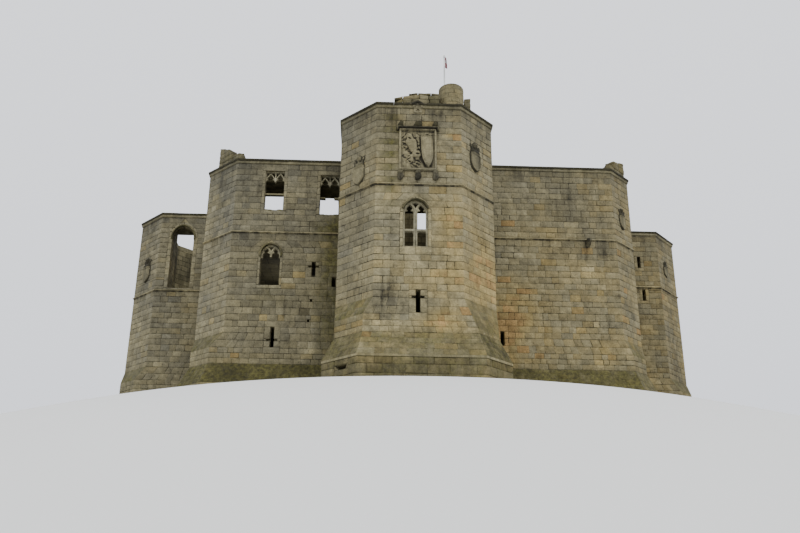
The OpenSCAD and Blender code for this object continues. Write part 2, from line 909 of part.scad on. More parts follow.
module upper_windows() {
    color(dressed_colour) {
        on_side(1, upper_left_s, upper_left_sill) upper_tracery();
        on_side(1, side_length(1) - upper_right_s, upper_right_sill) upper_tracery();
    }
}

module back_hall_windows() {
    color(dressed_colour) {
        on_side(23, side_length(23) - hall_window_s, hall_window_sill) hall_tracery();
        on_side(23, side_length(23) - upper_left_s, upper_left_sill) upper_tracery();
        on_side(17, door_s, upper_left_sill) upper_tracery();
    }
}

// Plain shield: straight top, sides that curve to a point
module shield(w, h) {
    intersection() {
        translate([-w / 2, 0]) square([w, h]);
        union() {
            translate([-w / 2, h * 0.5]) square([w, h * 0.5]);
            intersection() {
                translate([w / 2 - w, h * 0.5]) circle(w);
                translate([w - w / 2, h * 0.5]) circle(w);
                translate([-w / 2, -w]) square([w, h * 0.5 + w]);
            }
        }
    }
}

boss_w = 240;
boss_h = 190;
corbel_w = 240;
corbel_h = 400;
corbel_out = 60;
module carved_panel() {
    w = panel_w;
    color(dressed_colour) on_side(4, side_length(4) / 2 + panel_x, panel_z) {
        difference() {
            depth(-frame_out, 0) translate([-w / 2, 0]) square([w, panel_h]);
            depth(-frame_out - over, -slab_out) translate([-w / 2 + frame_w, frame_w])
                square([w - 2 * frame_w, panel_h - 2 * frame_w]);
        }
        depth(-hood_out, 0) translate([-w / 2 - frame_w / 2, panel_h]) square([w + frame_w, hood_h]);
        for (x = [-1, 0, 1]) {
            depth(-hood_out, 0) translate([x * (w + frame_w - boss_w) / 2 - boss_w / 2, panel_h])
                square([boss_w, hood_h + boss_h]);
            depth(-frame_out - corbel_out, 0) translate([x * (w + frame_w - corbel_w) / 2 - corbel_w / 2, -corbel_h])
                square([corbel_w, corbel_h + over]);
        }
    }
}

// Shield held up by a small half figure: shoulders and wings behind its top, and a head
module held_shield(w, h) {
    shield(w, h);
    translate([0, h]) circle(w * 0.48);
    translate([0, h + w * 0.62]) circle(w * 0.2);
}

// Each shield: its wall, its place as a share of the wall's length, its foot's height over the string
// course as a share of the height up to the coping, and its size
shield_places = [[3, 0.54, 0.05, 1], [5, 0.42, 0.246, 1], [8, 0.51, 0.238, 0.6], [11, 0.4, 0.264, 0.55],
    [29, 0.51, 0.138, 1.05]];
module shields() {
    color(dressed_colour) for (p = shield_places) {
        z = string_of(p[0]) + p[2] * (top_of(p[0]) - string_of(p[0]));
        on_side(p[0], p[1] * side_length(p[0]), z) depth(-shield_out, 0) held_shield(shield_w * p[3], shield_h * p[3]);
    }
}

spout_s = 4840;
spout_out = 420;
spout_w = 190;
spout_lip = 110;
spout_foot = 300;
module spout() {
    color(dressed_colour) on_side(7, spout_s, string_z - string_h) rotate([0, 90, 0])
        linear_extrude(spout_w, center = true)
            polygon([[0, 0], [0, -spout_out], [spout_lip, -spout_out], [spout_foot, 0]]);
}

front_wall_left();
front_wall_right();
right_walls();
back_wall_right();
back_wall_left();
left_walls();
corner_walls();
front_inner_wall();
right_inner_wall();
back_inner_wall();
left_inner_wall();
front_turret_face();
front_turret_cants();
front_turret_sides();
right_turret_face();
right_turret_cants();
right_turret_sides();
back_turret_face();
back_turret_cants();
back_turret_sides();
left_turret_face();
left_turret_cants();
left_turret_sides();
ground_floor();
first_floor();
second_floor();
coping_front();
coping_right();
coping_back();
coping_left();
string_course();
parapet_front();
parapet_corners();
round_stack();
flagpole();
flag();
front_window();
pointed_window();
upper_windows();
back_window();
back_hall_windows();
carved_panel();
shields();
spout();
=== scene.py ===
"""Ruined castle keep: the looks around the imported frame.

Every surface is computed with numpy on the plan that the frame was built on. A place on a wall is
(s, z, w): s along the wall from its left end, z above the ground, w in front of the wall's face.
"""
import functools
import math
from types import SimpleNamespace

import bmesh
import bpy
import numpy as np
from bpy.props import FloatProperty, FloatVectorProperty, IntProperty, PointerProperty
from mathutils import Matrix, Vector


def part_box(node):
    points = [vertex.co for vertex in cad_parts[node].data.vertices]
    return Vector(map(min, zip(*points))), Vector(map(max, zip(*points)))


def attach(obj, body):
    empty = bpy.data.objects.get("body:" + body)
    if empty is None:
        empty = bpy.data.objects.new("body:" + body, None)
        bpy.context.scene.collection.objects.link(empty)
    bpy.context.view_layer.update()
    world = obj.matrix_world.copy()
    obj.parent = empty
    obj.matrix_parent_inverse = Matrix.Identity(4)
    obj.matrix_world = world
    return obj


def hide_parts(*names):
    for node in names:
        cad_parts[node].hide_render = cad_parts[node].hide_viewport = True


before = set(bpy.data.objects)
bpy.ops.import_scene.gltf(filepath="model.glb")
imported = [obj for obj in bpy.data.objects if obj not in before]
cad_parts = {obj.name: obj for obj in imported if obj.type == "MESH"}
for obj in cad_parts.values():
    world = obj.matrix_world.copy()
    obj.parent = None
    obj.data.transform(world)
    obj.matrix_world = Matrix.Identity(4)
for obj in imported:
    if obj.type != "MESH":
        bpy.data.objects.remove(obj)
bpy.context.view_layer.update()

bl_info = {
    "name": "Castle Keep",
    "version": (1, 0, 0),
    "blender": (4, 5, 0),
    "location": "View3D > Sidebar > Keep",
    "description": "Stones, mouldings, tracery, carving and finishes of a ruined castle keep",
    "category": "Object",
}

POINTS = 32
TAU = 2 * math.pi
# Numbers of the end walls of the front and the back turret
FRONT_END, BACK_END = 4, 20


# Sizes and colours

def metres(name, default, text):
    """A length that the panel shows in the scene's unit."""
    return FloatProperty(name=name, description=text, default=default, unit="LENGTH", subtype="DISTANCE")


def colour(name, red, green, blue, text):
    """A colour given as it looks on screen, 0 to 255, and kept as linear light."""
    values = [v / 255 for v in (red, green, blue)]
    linear = [v / 12.92 if v <= 0.04045 else ((v + 0.055) / 1.055) ** 2.4 for v in values]
    return FloatVectorProperty(name=name, description=text, default=linear, size=3, subtype="COLOR",
                               min=0, max=1)


class KeepPlan(bpy.types.PropertyGroup):
    """Sizes of the walls, as the frame has them"""
    block_w: metres("Block width", 19.9, "Width over the left and right walls")
    block_d: metres("Block depth", 19.8, "Depth over the front and back walls")
    block_h: metres("Block height", 11.65, "Top of the coping")
    block_wall: metres("Block wall", 1.8, "Thickness of the block's walls")
    turret_wall: metres("Turret wall", 1.3, "Thickness of the turret walls")
    corner_left: metres("Left corners", 1.5, "Cut taken off the left corners")
    corner_right: metres("Right corners", 1.1, "Cut taken off the right corners")
    front_x: metres("Front turret place", -0.43, "Middle of the front and back turrets")
    front_w: metres("Front turret width", 6.26, "Width over the sides")
    front_face: metres("Front turret end wall", 3.4, "Width of the end wall")
    front_out: metres("Front turret reach", 5.27, "Distance from the block")
    front_cant: metres("Front turret cant", 1.5, "Depth of the canted walls")
    left_w: metres("Left turret width", 6.68, "Width over the sides")
    left_face: metres("Left turret end wall", 3.62, "Width of the end wall")
    left_out: metres("Left turret reach", 4.76, "Distance from the block")
    left_cant: metres("Left turret cant", 1.42, "Depth of the canted walls")
    left_rise: metres("Left turret rise", 0.05, "Height of its coping over the block's")
    left_string: metres("Left turret string course", 7.44, "Top of its string course")
    right_w: metres("Right turret width", 6.02, "Width over the sides")
    right_face: metres("Right turret end wall", 2.84, "Width of the end wall")
    right_out: metres("Right turret reach", 4.69, "Distance from the block")
    right_cant: metres("Right turret cant", 1.43, "Depth of the canted walls")
    right_drop: metres("Right turret drop", 0.2, "Depth of its coping under the block's")
    right_string: metres("Right turret string course", 8.31, "Top of its string course")
    plinth_top: metres("Plinth top", 2.0, "Top of the batter")
    shoulder: metres("Plinth shoulder", 1.07, "Foot of the batter")
    plinth_out: metres("Plinth reach", 0.45, "Distance that the plinth stands out")
    lip_h: metres("Lip height", 0.09, "Height of the lip at the shoulder")
    lip_in: metres("Lip depth", 0.04, "Set-back of the plinth under the lip")
    spur_top: metres("Spur top", 3.35, "Top of the spurs")
    spur_foot: metres("Spur foot", 2.7, "Foot of the spurs' slopes")
    long_foot: metres("Long spur foot", 2.06, "Foot of the slope of the front turret's right spur")
    spur_front: metres("Left spur", 0.36, "Widening by the front turret's left spur")
    spur_long: metres("Right spur", 0.55, "Widening by the front turret's right spur")
    spur_corner: metres("Left corner spurs", 0.55, "Widening by the spurs of the left corners")
    spur_right: metres("Right corner spurs", 0.35, "Widening by the spurs of the right corners")
    spur_side: metres("Other spurs", 0.52, "Widening by the spurs of the other turrets")
    string_z: metres("String course", 8.08, "Top of the string course")
    string_h: metres("String course height", 0.125, "Height of the string course")
    coping_h: metres("Coping height", 0.23, "Height of the coping")


class KeepOpenings(bpy.types.PropertyGroup):
    """Sizes of the windows, the doorway and the slits, as the frame has them"""
    front_x: metres("Front window place", -0.125, "From the middle of the end wall")
    front_sill: metres("Front window sill", 5.4, "Above the ground")
    front_w: metres("Front window width", 0.97, "Width of the opening")
    front_spring: metres("Front window springing", 1.44, "Above the sill")
    front_rise: metres("Front window rise", 0.52, "Rise of the pointed head")
    hall_s: metres("Hall window place", 1.77, "From the wall's outer arris")
    hall_sill: metres("Hall window sill", 5.54, "Above the ground")
    hall_w: metres("Hall window width", 0.86, "Width of the opening")
    hall_spring: metres("Hall window springing", 1.45, "Above the sill")
    hall_rise: metres("Hall window rise", 0.47, "Rise of the pointed head")
    upper_left: metres("Upper window place", 1.75, "From the wall's outer arris")
    upper_right: metres("Upper right window place", 0.63, "From the front turret")
    upper_sill: metres("Upper window sill", 9.1, "Above the ground")
    upper_right_sill: metres("Upper right window sill", 8.95, "Above the ground")
    upper_w: metres("Upper window width", 0.86, "Width of the opening")
    upper_h: metres("Upper window height", 1.98, "Height of the opening")
    tall_s: metres("Tall window place", 1.17, "From the turret's outer arris")
    tall_sill: metres("Tall window sill", 7.53, "Above the ground")
    tall_w: metres("Tall window width", 1.12, "Width of the opening")
    tall_over: metres("Wall over the tall window", 0.47, "From its point to the coping")
    tall_rise: metres("Tall window rise", 0.64, "Rise of the pointed head")
    door_s: metres("Doorway place", 3.0, "From the back wall's right arris")
    door_z: metres("Doorway threshold", 0.25, "Above the ground")
    door_w: metres("Doorway width", 1.4, "Width of the doorway")
    door_spring: metres("Doorway springing", 1.7, "Above the threshold")
    door_rise: metres("Doorway rise", 0.8, "Rise of the pointed head")
    slit_w: metres("Slit width", 0.17, "Width of a slit")
    slit_h: metres("Slit height", 0.64, "Height of a plain slit")
    cross_h: metres("Cross slit height", 0.9, "Height of a slit with a cross")
    arm: metres("Cross arm", 0.47, "Length of the cross's arm")
    arm_h: metres("Cross arm height", 0.095, "Height of the cross's arm")


class KeepStones(bpy.types.PropertyGroup):
    """How the walls are coursed"""
    seed: IntProperty(name="Seed", description="Start of the random stone sizes and tones", default=41)
    course: metres("Course", 0.285, "Usual height of a course")
    stone: metres("Stone length", 0.5, "Usual length of a stone")
    quoin_long: metres("Long quoin", 0.62, "Length of the long corner stones")
    quoin_short: metres("Short quoin", 0.34, "Length of the short corner stones")
    joint: metres("Joint", 0.026, "Width of a stone's worn edge")
    skin: metres("Joint depth", 0.002, "Distance of the joints in front of the solid wall")
    relief: metres("Relief", 0.012, "Usual distance of a stone's face in front of the solid wall")
    rough: metres("Rough relief", 0.024, "The same in the rough courses at the ground")


class KeepColours(bpy.types.PropertyGroup):
    """Colours of the finishes"""
    grey: colour("Grey stone", 144, 139, 117, "Weathered grey stone")
    buff: colour("Buff stone", 162, 152, 116, "Usual buff stone")
    ochre: colour("Ochre stone", 174, 154, 101, "Ochre stone")
    pink: colour("Orange stone", 176, 145, 93, "Stone stained orange")
    mortar: colour("Joint", 38, 34, 23, "Dirt in the joints")
    # Dark colour for both crust and painted shade in hollows and under mouldings
    soot: colour("Dark crust", 33, 31, 24, "Dark weathering")
    moss: colour("Moss", 106, 101, 55, "Yellow-green moss")
    olive: colour("Algae", 56, 53, 32, "Dark olive growth on slopes")
    pole: colour("Pole", 205, 205, 200, "Painted pole")
    red: colour("Flag red", 168, 44, 56, "Red cloth")
    white: colour("Flag white", 205, 200, 196, "White cloth")
    floor: colour("Studio floor", 214, 214, 210, "Pale floor of the stage")


# Plan of the walls

def turret_line(w, face, out, cant, wide_l, wide_r):
    """Six outline points of a turret that stands out towards -Y from y = 0, with its spurs' widening."""
    leg = (w - face) / 2
    return [(-w / 2, 0), (-w / 2, -(out - cant * (1 - wide_l / leg))), (-face / 2 - wide_l, -out),
            (face / 2 + wide_r, -out), (w / 2, -(out - cant * (1 - wide_r / leg))), (w / 2, 0)]


def outline(p, spread):
    """The plan's 32 points, anticlockwise from the front left corner; spread 1 gives the spurs' feet."""
    x, y = p.block_w / 2, p.block_d / 2
    a = p.corner_left - spread * p.spur_corner
    b = p.corner_right - spread * p.spur_right
    side = spread * p.spur_side

    def placed(line, turns, at):
        co, si = round(math.cos(turns * TAU / 4)), round(math.sin(turns * TAU / 4))
        return [(q[0] * co - q[1] * si + at[0], q[0] * si + q[1] * co + at[1]) for q in line]

    front = (p.front_w, p.front_face, p.front_out, p.front_cant)
    rows = [(-x, -y + a), (-x + a, -y)]
    rows += placed(turret_line(*front, spread * p.spur_front, spread * p.spur_long), 0, (p.front_x, -y))
    rows += [(x - b, -y), (x, -y + b)]
    rows += placed(turret_line(p.right_w, p.right_face, p.right_out, p.right_cant, side, side), 1, (x, 0))
    rows += [(x, y - b), (x - b, y)]
    rows += placed(turret_line(*front, side, side), 2, (p.front_x, y))
    rows += [(-x + a, y), (-x, y - a)]
    rows += placed(turret_line(p.left_w, p.left_face, p.left_out, p.left_cant, side, side), 3, (-x, 0))
    return np.array(rows)


@functools.lru_cache(maxsize=None)
def plan():
    """Outline, base outline, wall directions, outward normals, mitres, lengths and heights, by wall."""
    p = bpy.context.scene.keep_plan
    upper, base = outline(p, 0), outline(p, 1)
    nxt = np.roll(upper, -1, 0) - upper
    length = np.linalg.norm(nxt, axis=1)
    way = nxt / length[:, None]
    out = np.stack([way[:, 1], -way[:, 0]], 1)
    before = np.roll(out, 1, 0)
    mitre = (before + out) / (1 + (before * out).sum(1))[:, None]
    k = np.arange(POINTS)
    turret = (k % 8 >= 2) & (k % 8 <= 6)
    right, left = turret & (k // 8 == 1), turret & (k // 8 == 3)
    top = np.where(right, p.block_h - p.right_drop, np.where(left, p.block_h + p.left_rise, p.block_h))
    string = np.where(right, p.right_string, np.where(left, p.left_string, p.string_z))
    foot = np.where((k == 5) | (k == 6), p.long_foot, p.spur_foot)
    joins = (k % 8 == 2) | (k % 8 == 7)
    return SimpleNamespace(upper=upper, base=base, way=way, out=out, mitre=mitre, length=length, top=top,
                           string=string, foot=foot, joins=joins, p=p,
                           thick=np.where(turret, p.turret_wall, p.block_wall))


def shared(k, z):
    """How far point k of the outline has gone from the upper wall to the spur's foot at height z, 0 to 1."""
    g = plan()
    return np.clip((g.p.spur_top - z) / (g.p.spur_top - g.foot[k]), 0, 1)


def batter(z):
    """How far the plinth stands out at height z: straight, a lip, then a slope that ends at its top."""
    p = plan().p
    low = p.shoulder - p.lip_h
    slope = p.plinth_out * np.clip((p.plinth_top - z) / (p.plinth_top - p.shoulder), 0, 1)
    return np.where(z < low, p.plinth_out - p.lip_in, slope)


def stand_out(z, w):
    """Plinth and relief together, never past the plinth's own reach."""
    return np.minimum(batter(z) + w, plan().p.plinth_out - 0.0004)


def wall_end(i, right, z, w):
    """Distance s of wall i's left or right arris at height z and relief w, on the mitre of the two walls."""
    g = plan()
    k = (i + 1) % POINTS if right else i
    move = shared(k, z)[..., None] * (g.base[k] - g.upper[k]) + stand_out(z, w)[..., None] * g.mitre[k]
    return (g.upper[k] - g.upper[i]) @ g.way[i] + move @ g.way[i]


def on_wall(i, s, z, w, inside):
    """Point (s, z, w) of wall i, out over spur, plinth and relief; the plinth's reach is read at inside."""
    g = plan()
    spread = shared(i, z) * ((g.base[i] - g.upper[i]) @ g.out[i])
    flat = g.upper[i] + s[..., None] * g.way[i] + (spread + stand_out(inside, w))[..., None] * g.out[i]
    return np.concatenate([flat, np.broadcast_to(z, s.shape)[..., None]], -1)


# Mesh

# The crust layer carries dark crust and painted shade alike
LAYERS = ("tone", "hue", "joint", "soot", "moss")
# Faces of one stone's 4 by 4 points
SHEET = np.array([[r * 4 + c, r * 4 + c + 1, r * 4 + c + 5, r * 4 + c + 4]
                  for r in range(3) for c in range(3)])


def face_outwards(mesh, upwards=False):
    """Turns a closed mesh's faces outwards, or an open sheet's faces up."""
    work = bmesh.new()
    work.from_mesh(mesh)
    bmesh.ops.recalc_face_normals(work, faces=work.faces)
    work.faces.ensure_lookup_table()
    if upwards and work.faces[0].normal.z < 0:
        bmesh.ops.reverse_faces(work, faces=work.faces)
    work.to_mesh(mesh)
    work.free()


def shown(name, data):
    """A new object of that mesh, lamp or camera in the scene."""
    obj = bpy.data.objects.new(name, data)
    bpy.context.scene.collection.objects.link(obj)
    return obj


def finished(name, mesh, material, smooth):
    """An object of the mesh with its shading and its finish."""
    mesh.polygons.foreach_set("use_smooth", np.full(len(mesh.polygons), smooth))
    mesh.materials.append(material)
    return shown(name, mesh)


class Pile:
    """Surfaces that become one piece: points, faces and one value a point for each layer of paint."""

    def __init__(self):
        self.points, self.faces, self.paint, self.count = [], [], {n: [] for n in LAYERS}, 0

    def add(self, points, faces, **paint):
        """Adds points (any shape, x y z last) and face arrays that number them."""
        flat = np.asarray(points, float).reshape(-1, 3)
        self.points.append(flat)
        self.faces += [np.asarray(f) + self.count for f in faces]
        for name in LAYERS:
            value = np.asarray(paint.get(name, 0.5 if name in ("tone", "hue") else 0.0), float)
            self.paint[name].append(np.broadcast_to(value, np.asarray(points).shape[:-1]).reshape(-1))
        self.count += len(flat)

    def piece(self, name, made_of, slot, replaces=(), closed=True, smooth=True):
        """Makes the mesh, gives it its paint and finish, and rides it on the keep."""
        mesh = bpy.data.meshes.new(name)
        points = np.concatenate(self.points)
        mesh.vertices.add(len(points))
        mesh.vertices.foreach_set("co", points.astype(np.float32).ravel())
        loops = np.concatenate([f.ravel() for f in self.faces])
        sizes = np.concatenate([np.full(len(f), f.shape[1]) for f in self.faces])
        mesh.loops.add(len(loops))
        mesh.loops.foreach_set("vertex_index", loops.astype(np.int32))
        mesh.polygons.add(len(sizes))
        mesh.polygons.foreach_set("loop_start", (np.cumsum(sizes) - sizes).astype(np.int32))
        mesh.update(calc_edges=True)
        for layer in LAYERS:
            data = mesh.attributes.new(layer, "FLOAT", "POINT").data
            data.foreach_set("value", np.concatenate(self.paint[layer]).astype(np.float32))
        mesh.validate()
        if closed:
            face_outwards(mesh)
        obj = finished(name, mesh, finish(made_of), smooth)
        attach(obj, "root")
        if replaces:
            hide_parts(*replaces)
        return obj


def loft(rings, ends=True, ring=True):
    """Faces of a skin over rings (n, m): quads between rings, closed round if ring, flat ends if ends."""
    n, m = rings.shape[:2]
    index = np.arange(n * m).reshape(n, m)
    side = np.roll(index, -1, 1) if ring else index[:, 1:]
    near = index if ring else index[:, :-1]
    quads = np.stack([near[:-1], side[:-1], side[1:], near[1:]], -1).reshape(-1, 4)
    return [quads] + ([index[:1, ::-1], index[-1:]] if ends else [])


def wobble(points, size, seed=0.0):
    """Smooth pseudo-random offset of points: sums of sines of the place itself, so shared edges agree."""
    q = np.asarray(points)
    phase = np.array([1.7, 4.1, 2.9]) + seed
    a = np.sin(q[..., [1, 2, 0]] * 11.3 + phase) + 0.6 * np.sin(q[..., [2, 0, 1]] * 23.7 + 2.3 * phase)
    b = 0.4 * np.sin((q[..., [0, 1, 2]] + q[..., [1, 2, 0]]) * 41.0 + 3.1 * phase)
    return size * (a + b) / 2


# Openings

# Width of the drain's frame, and how much wider its head is than its foot on each side
VENT_FRAME, VENT_FLARE = 0.13, 0.1
# Usual height of a jamb's stones, and length of an arch's wedge stones
JAMB_H, WEDGE_L = 0.36, 0.24


def pointed_half(w, spring, rise, extra, z):
    """Half width, z over the sill, of a pointed opening widened by extra: straight, then two arcs."""
    a = w / 2
    c = (rise * rise - a * a) / w
    up = np.maximum(z - spring, 0)
    arc = np.sqrt(np.maximum((a + c + extra) ** 2 - up ** 2, 0)) - c
    return np.where(z <= spring, a + extra, arc).clip(0)


def opening(i, s, z, kind, w, h, rise, jamb, arm_z=0.0):
    """One opening of wall i with the width of its dressed frame."""
    return SimpleNamespace(i=i, s=s, z=z, kind=kind, w=w, h=h, rise=rise, jamb=jamb, arm_z=arm_z)


@functools.lru_cache(maxsize=None)
def openings():
    """Every opening of the outer walls, as the frame has them."""
    g, o = plan(), bpy.context.scene.keep_openings
    size = g.length
    found = []
    for i in (FRONT_END, BACK_END):
        s = size[i] / 2 + o.front_x
        found.append(opening(i, s, o.front_sill, "pointed", o.front_w, o.front_spring, o.front_rise, 0.13))
    for i, s in ((1, o.hall_s), (23, size[23] - o.hall_s)):
        found.append(opening(i, s, o.hall_sill, "pointed", o.hall_w, o.hall_spring, o.hall_rise, 0.11))
    for i, s, z in ((1, o.upper_left, o.upper_sill), (1, size[1] - o.upper_right, o.upper_right_sill),
                    (23, size[23] - o.upper_left, o.upper_sill), (17, o.door_s, o.upper_sill)):
        found.append(opening(i, s, z, "square", o.upper_w, o.upper_h, 0, 0.14))
    tall = g.top[30] - g.p.coping_h - o.tall_over - o.tall_rise - o.tall_sill
    for i, s in ((30, o.tall_s), (26, size[26] - o.tall_s)):
        found.append(opening(i, s, o.tall_sill, "pointed", o.tall_w, tall, o.tall_rise, 0.2))
    found.append(opening(17, o.door_s, o.door_z, "pointed", o.door_w, o.door_spring, o.door_rise, 0.26))
    slits = [(7, 0.83, 3.01, o.slit_h), (1, size[1] - 0.29, 5.51, 0.46), (12, size[12] / 2, 9.3, o.slit_h),
             (12, size[12] / 2, 2.74, o.slit_h), (28, size[28] / 2, 2.74, o.slit_h),
             (10, 2.215, 9.35, o.slit_h), (10, 2.335, 7.5, o.slit_h), (14, size[14] - 2.215, 9.35, o.slit_h)]
    slits += [(i, size[i] / 2, z, o.slit_h) for i in (9, 15, 25, 31) for z in (2.74, 9.3)]
    for i, s, z, h in slits:
        found.append(opening(i, s, z, "square", o.slit_w, h, 0, 0.17))
    crosses = [(FRONT_END, 1.68, 2.77, o.cross_h, 0.62),
               (BACK_END, size[BACK_END] / 2, 2.77, o.cross_h, 0.62),
               (1, 2.06, 2.74, o.cross_h, 0.3), (23, size[23] - 2.06, 2.74, o.cross_h, 0.3),
               (1, size[1] - 1.195, 5.96, 0.7, 0.62)]
    for i, s, z, h, share in crosses:
        found.append(opening(i, s, z, "cross", o.slit_w, h, 0, 0.26, share * h))
    for s, z in ((size[1] - 1.24, 4.86), (size[1] - 1.32, 3.94)):
        found.append(opening(1, s, z - 0.055, "square", 0.11, 0.11, 0, 0.05))
    found.append(opening(3, 1.18, 0.6, "vent", 0.46, 0.18, 0, 0.0))
    return found


@functools.lru_cache(maxsize=None)
def beds():
    """Heights of the bed joints: rough courses, the batter, the spurs, then even courses up to the top."""
    p, q = plan().p, bpy.context.scene.keep_stones
    rng = np.random.default_rng(q.seed)

    def between(low, high, n, loose=0.1):
        steps = rng.uniform(1 - loose, 1 + loose, n)
        return list(low + (high - low) * np.cumsum(steps) / steps.sum())

    low = p.shoulder - p.lip_h
    rows = [0.0] + between(0, low, 3, 0.2) + [p.shoulder] + between(p.shoulder, p.plinth_top, 4)
    rows += between(p.plinth_top, p.spur_foot, 3) + between(p.spur_foot, p.spur_top, 2)
    under = p.string_z - p.string_h
    rows += between(p.spur_top, under, round((under - p.spur_top) / q.course), 0.14) + [p.string_z]
    high = p.block_h - p.coping_h
    rows += between(p.string_z, high, round((high - p.string_z) / q.course), 0.1) + [p.block_h + 0.1]
    return np.array(rows)


def hole(o):
    """Lowest and highest bed that the opening's dressed frame reaches, and its half width at a height."""
    g = plan()
    rows = beds()
    top = g.top[o.i] - g.p.coping_h
    if o.kind == "vent":
        low, high = rows[rows <= o.z - 0.02].max(), rows[rows >= o.z + o.h + 0.02].min()
        return low, high, lambda z: np.full(np.shape(z), o.w / 2 + VENT_FRAME)
    low = rows[rows <= o.z - min(0.1, o.jamb)].max() if o.z > 0.3 else 0.0
    if g.string[o.i] - g.p.string_h < o.z and low < g.string[o.i]:
        low = min(g.string[o.i], o.z)
    if o.kind == "pointed":
        return low, top, lambda z: pointed_half(o.w, o.h, o.rise, o.jamb, np.asarray(z) - o.z)
    high = min(rows[rows >= o.z + o.h + min(0.1, o.jamb)].min(), top)
    return low, high, lambda z: np.full(np.shape(z), o.w / 2 + o.jamb)


def box_quad(left, right, low, high):
    """A rectangle of the wall as four corners."""
    return [(left, low), (right, low), (right, high), (left, high)]


def frame_quads(o):
    """Dressed stones round an opening: sill, jambs in blocks, lintel, or wedge stones along both arcs."""
    low, high, _ = hole(o)
    a, wide = o.w / 2, o.w / 2 + o.jamb
    quads = []
    if o.kind == "vent":
        left, right, head = o.s - wide - VENT_FRAME, o.s + wide + VENT_FRAME, o.z + o.h
        return [box_quad(left, right, low, o.z), box_quad(left, right, head, high),
                [(left, o.z), (o.s - a, o.z), (o.s - a - VENT_FLARE, head), (left, head)],
                [(o.s + a, o.z), (right, o.z), (right, head), (o.s + a + VENT_FLARE, head)]]
    if o.z - low > 0.03 and o.z > 0.3:
        cut = np.linspace(o.s - wide, o.s + wide, 2 if o.w < 0.5 else 3)
        quads += [box_quad(l, r, low, o.z) for l, r in zip(cut, cut[1:])]
    if o.kind == "cross":
        q = bpy.context.scene.keep_openings
        arm = q.arm / 2
        steps = [o.z, o.z + o.arm_z, o.z + o.arm_z + q.arm_h, o.z + o.h]
        for number, (z0, z1) in enumerate(zip(steps, steps[1:])):
            near = arm if number == 1 else a
            quads += [box_quad(o.s - wide, o.s - near, z0, z1), box_quad(o.s + near, o.s + wide, z0, z1)]
    else:
        steps = np.linspace(o.z, o.z + o.h, max(1, round(o.h / JAMB_H)) + 1)
        for z0, z1 in zip(steps, steps[1:]):
            quads += [box_quad(o.s - wide, o.s - a, z0, z1), box_quad(o.s + a, o.s + wide, z0, z1)]
    if o.kind != "pointed":
        if high - (o.z + o.h) > 0.03:
            quads.append(box_quad(o.s - wide, o.s + wide, o.z + o.h, high))
        return quads
    c = (o.rise ** 2 - a * a) / o.w
    near, far = a + c, a + c + o.jamb
    count = max(3, round(near * math.acos(c / near) / WEDGE_L))
    for side in (-1, 1):
        inner = np.linspace(0, math.acos(c / near), count + 1)
        outer = np.linspace(0, math.acos(c / far), count + 1)
        for k in range(count):
            ring = [(near, inner[k]), (far, outer[k]), (far, outer[k + 1]), (near, inner[k + 1])]
            quads.append([(o.s + side * (r * math.cos(t) - c), o.z + o.h + r * math.sin(t))
                          for r, t in ring])
    return quads


# Stones

# Weather marks by wall: s, z, spread along the wall, spread in height, layer, strength
MARKS = {
    0: ((1.2, 10.6, 0.8, 0.8, "soot", 0.2),),
    1: ((4.4, 8.3, 0.6, 0.5, "moss", 1.0), (4.5, 6.9, 0.4, 0.8, "moss", 0.8),
        (4.4, 4.6, 0.5, 1.8, "moss", 0.65), (3.66, 3.0, 0.1, 1.1, "pale", 0.4),
        (3.5, 2.3, 0.25, 0.5, "pale", 0.3), (1.8, 5.0, 0.8, 0.5, "moss", 0.2),
        (0.9, 10.4, 0.7, 0.9, "soot", 0.12), (3.2, 10.3, 0.3, 1.0, "soot", 0.3),
        (2.2, 10.2, 2.4, 1.1, "pale", 0.1), (4.9, 9.0, 0.3, 1.0, "moss", 0.5)),
    3: ((1.7, 4.6, 0.5, 1.0, "pale", 0.14), (1.6, 3.9, 0.6, 0.5, "soot", 0.28),
        (0.8, 2.4, 1.4, 0.4, "soot", 0.25), (0.9, 3.0, 1.2, 0.35, "pale", 0.25),
        (2.3, 2.6, 0.25, 0.6, "soot", 0.35)),
    4: ((0.62, 9.4, 0.13, 2.4, "moss", 0.85), (0.72, 9.9, 0.2, 0.7, "soot", 0.35),
        (0.55, 11.0, 0.35, 0.25, "soot", 0.5), (2.4, 11.1, 0.5, 0.2, "soot", 0.35),
        (0.3, 4.3, 0.35, 0.9, "pale", 0.12), (0.2, 3.6, 0.5, 0.6, "soot", 0.22),
        (2.6, 2.5, 0.8, 0.35, "warm", 0.35), (0.6, 2.3, 0.6, 0.3, "pale", 0.28),
        (3.1, 5.5, 0.6, 2.2, "warm", 0.18), (3.2, 1.4, 0.8, 0.4, "soot", 0.35),
        (1.0, 3.4, 0.9, 0.9, "soot", 0.17), (0.2, 7.6, 0.4, 0.7, "pale", 0.1),
        (2.9, 7.0, 0.5, 1.2, "warm", 0.15), (1.7, 10.7, 2.5, 1.2, "soot", 0.13),
        (1.7, 3.2, 2.5, 0.9, "soot", 0.12), (3.1, 10.3, 0.12, 0.2, "warm", 0.8),
        (0.0, 2.8, 0.25, 0.6, "soot", 0.3), (1.3, 1.75, 1.5, 0.25, "moss", 0.3)),
    5: ((1.2, 5.0, 0.9, 2.2, "warm", 0.3), (1.0, 1.5, 1.2, 0.8, "soot", 0.3)),
    7: ((4.1, 9.4, 1.1, 1.0, "soot", 0.5), (4.4, 7.4, 1.3, 0.5, "soot", 0.42),
        (5.9, 6.5, 0.3, 3.5, "soot", 0.3), (4.84, 6.6, 0.16, 0.8, "pale", 0.25),
        (0.7, 3.6, 0.6, 1.6, "warm", 0.5), (1.7, 5.0, 1.0, 2.0, "warm", 0.2)),
    9: ((0.4, 3.5, 0.4, 1.6, "warm", 0.4),),
    11: ((1.0, 4.0, 0.5, 2.4, "soot", 0.25),),
    30: ((2.7, 8.6, 0.5, 1.8, "soot", 0.15),),
}
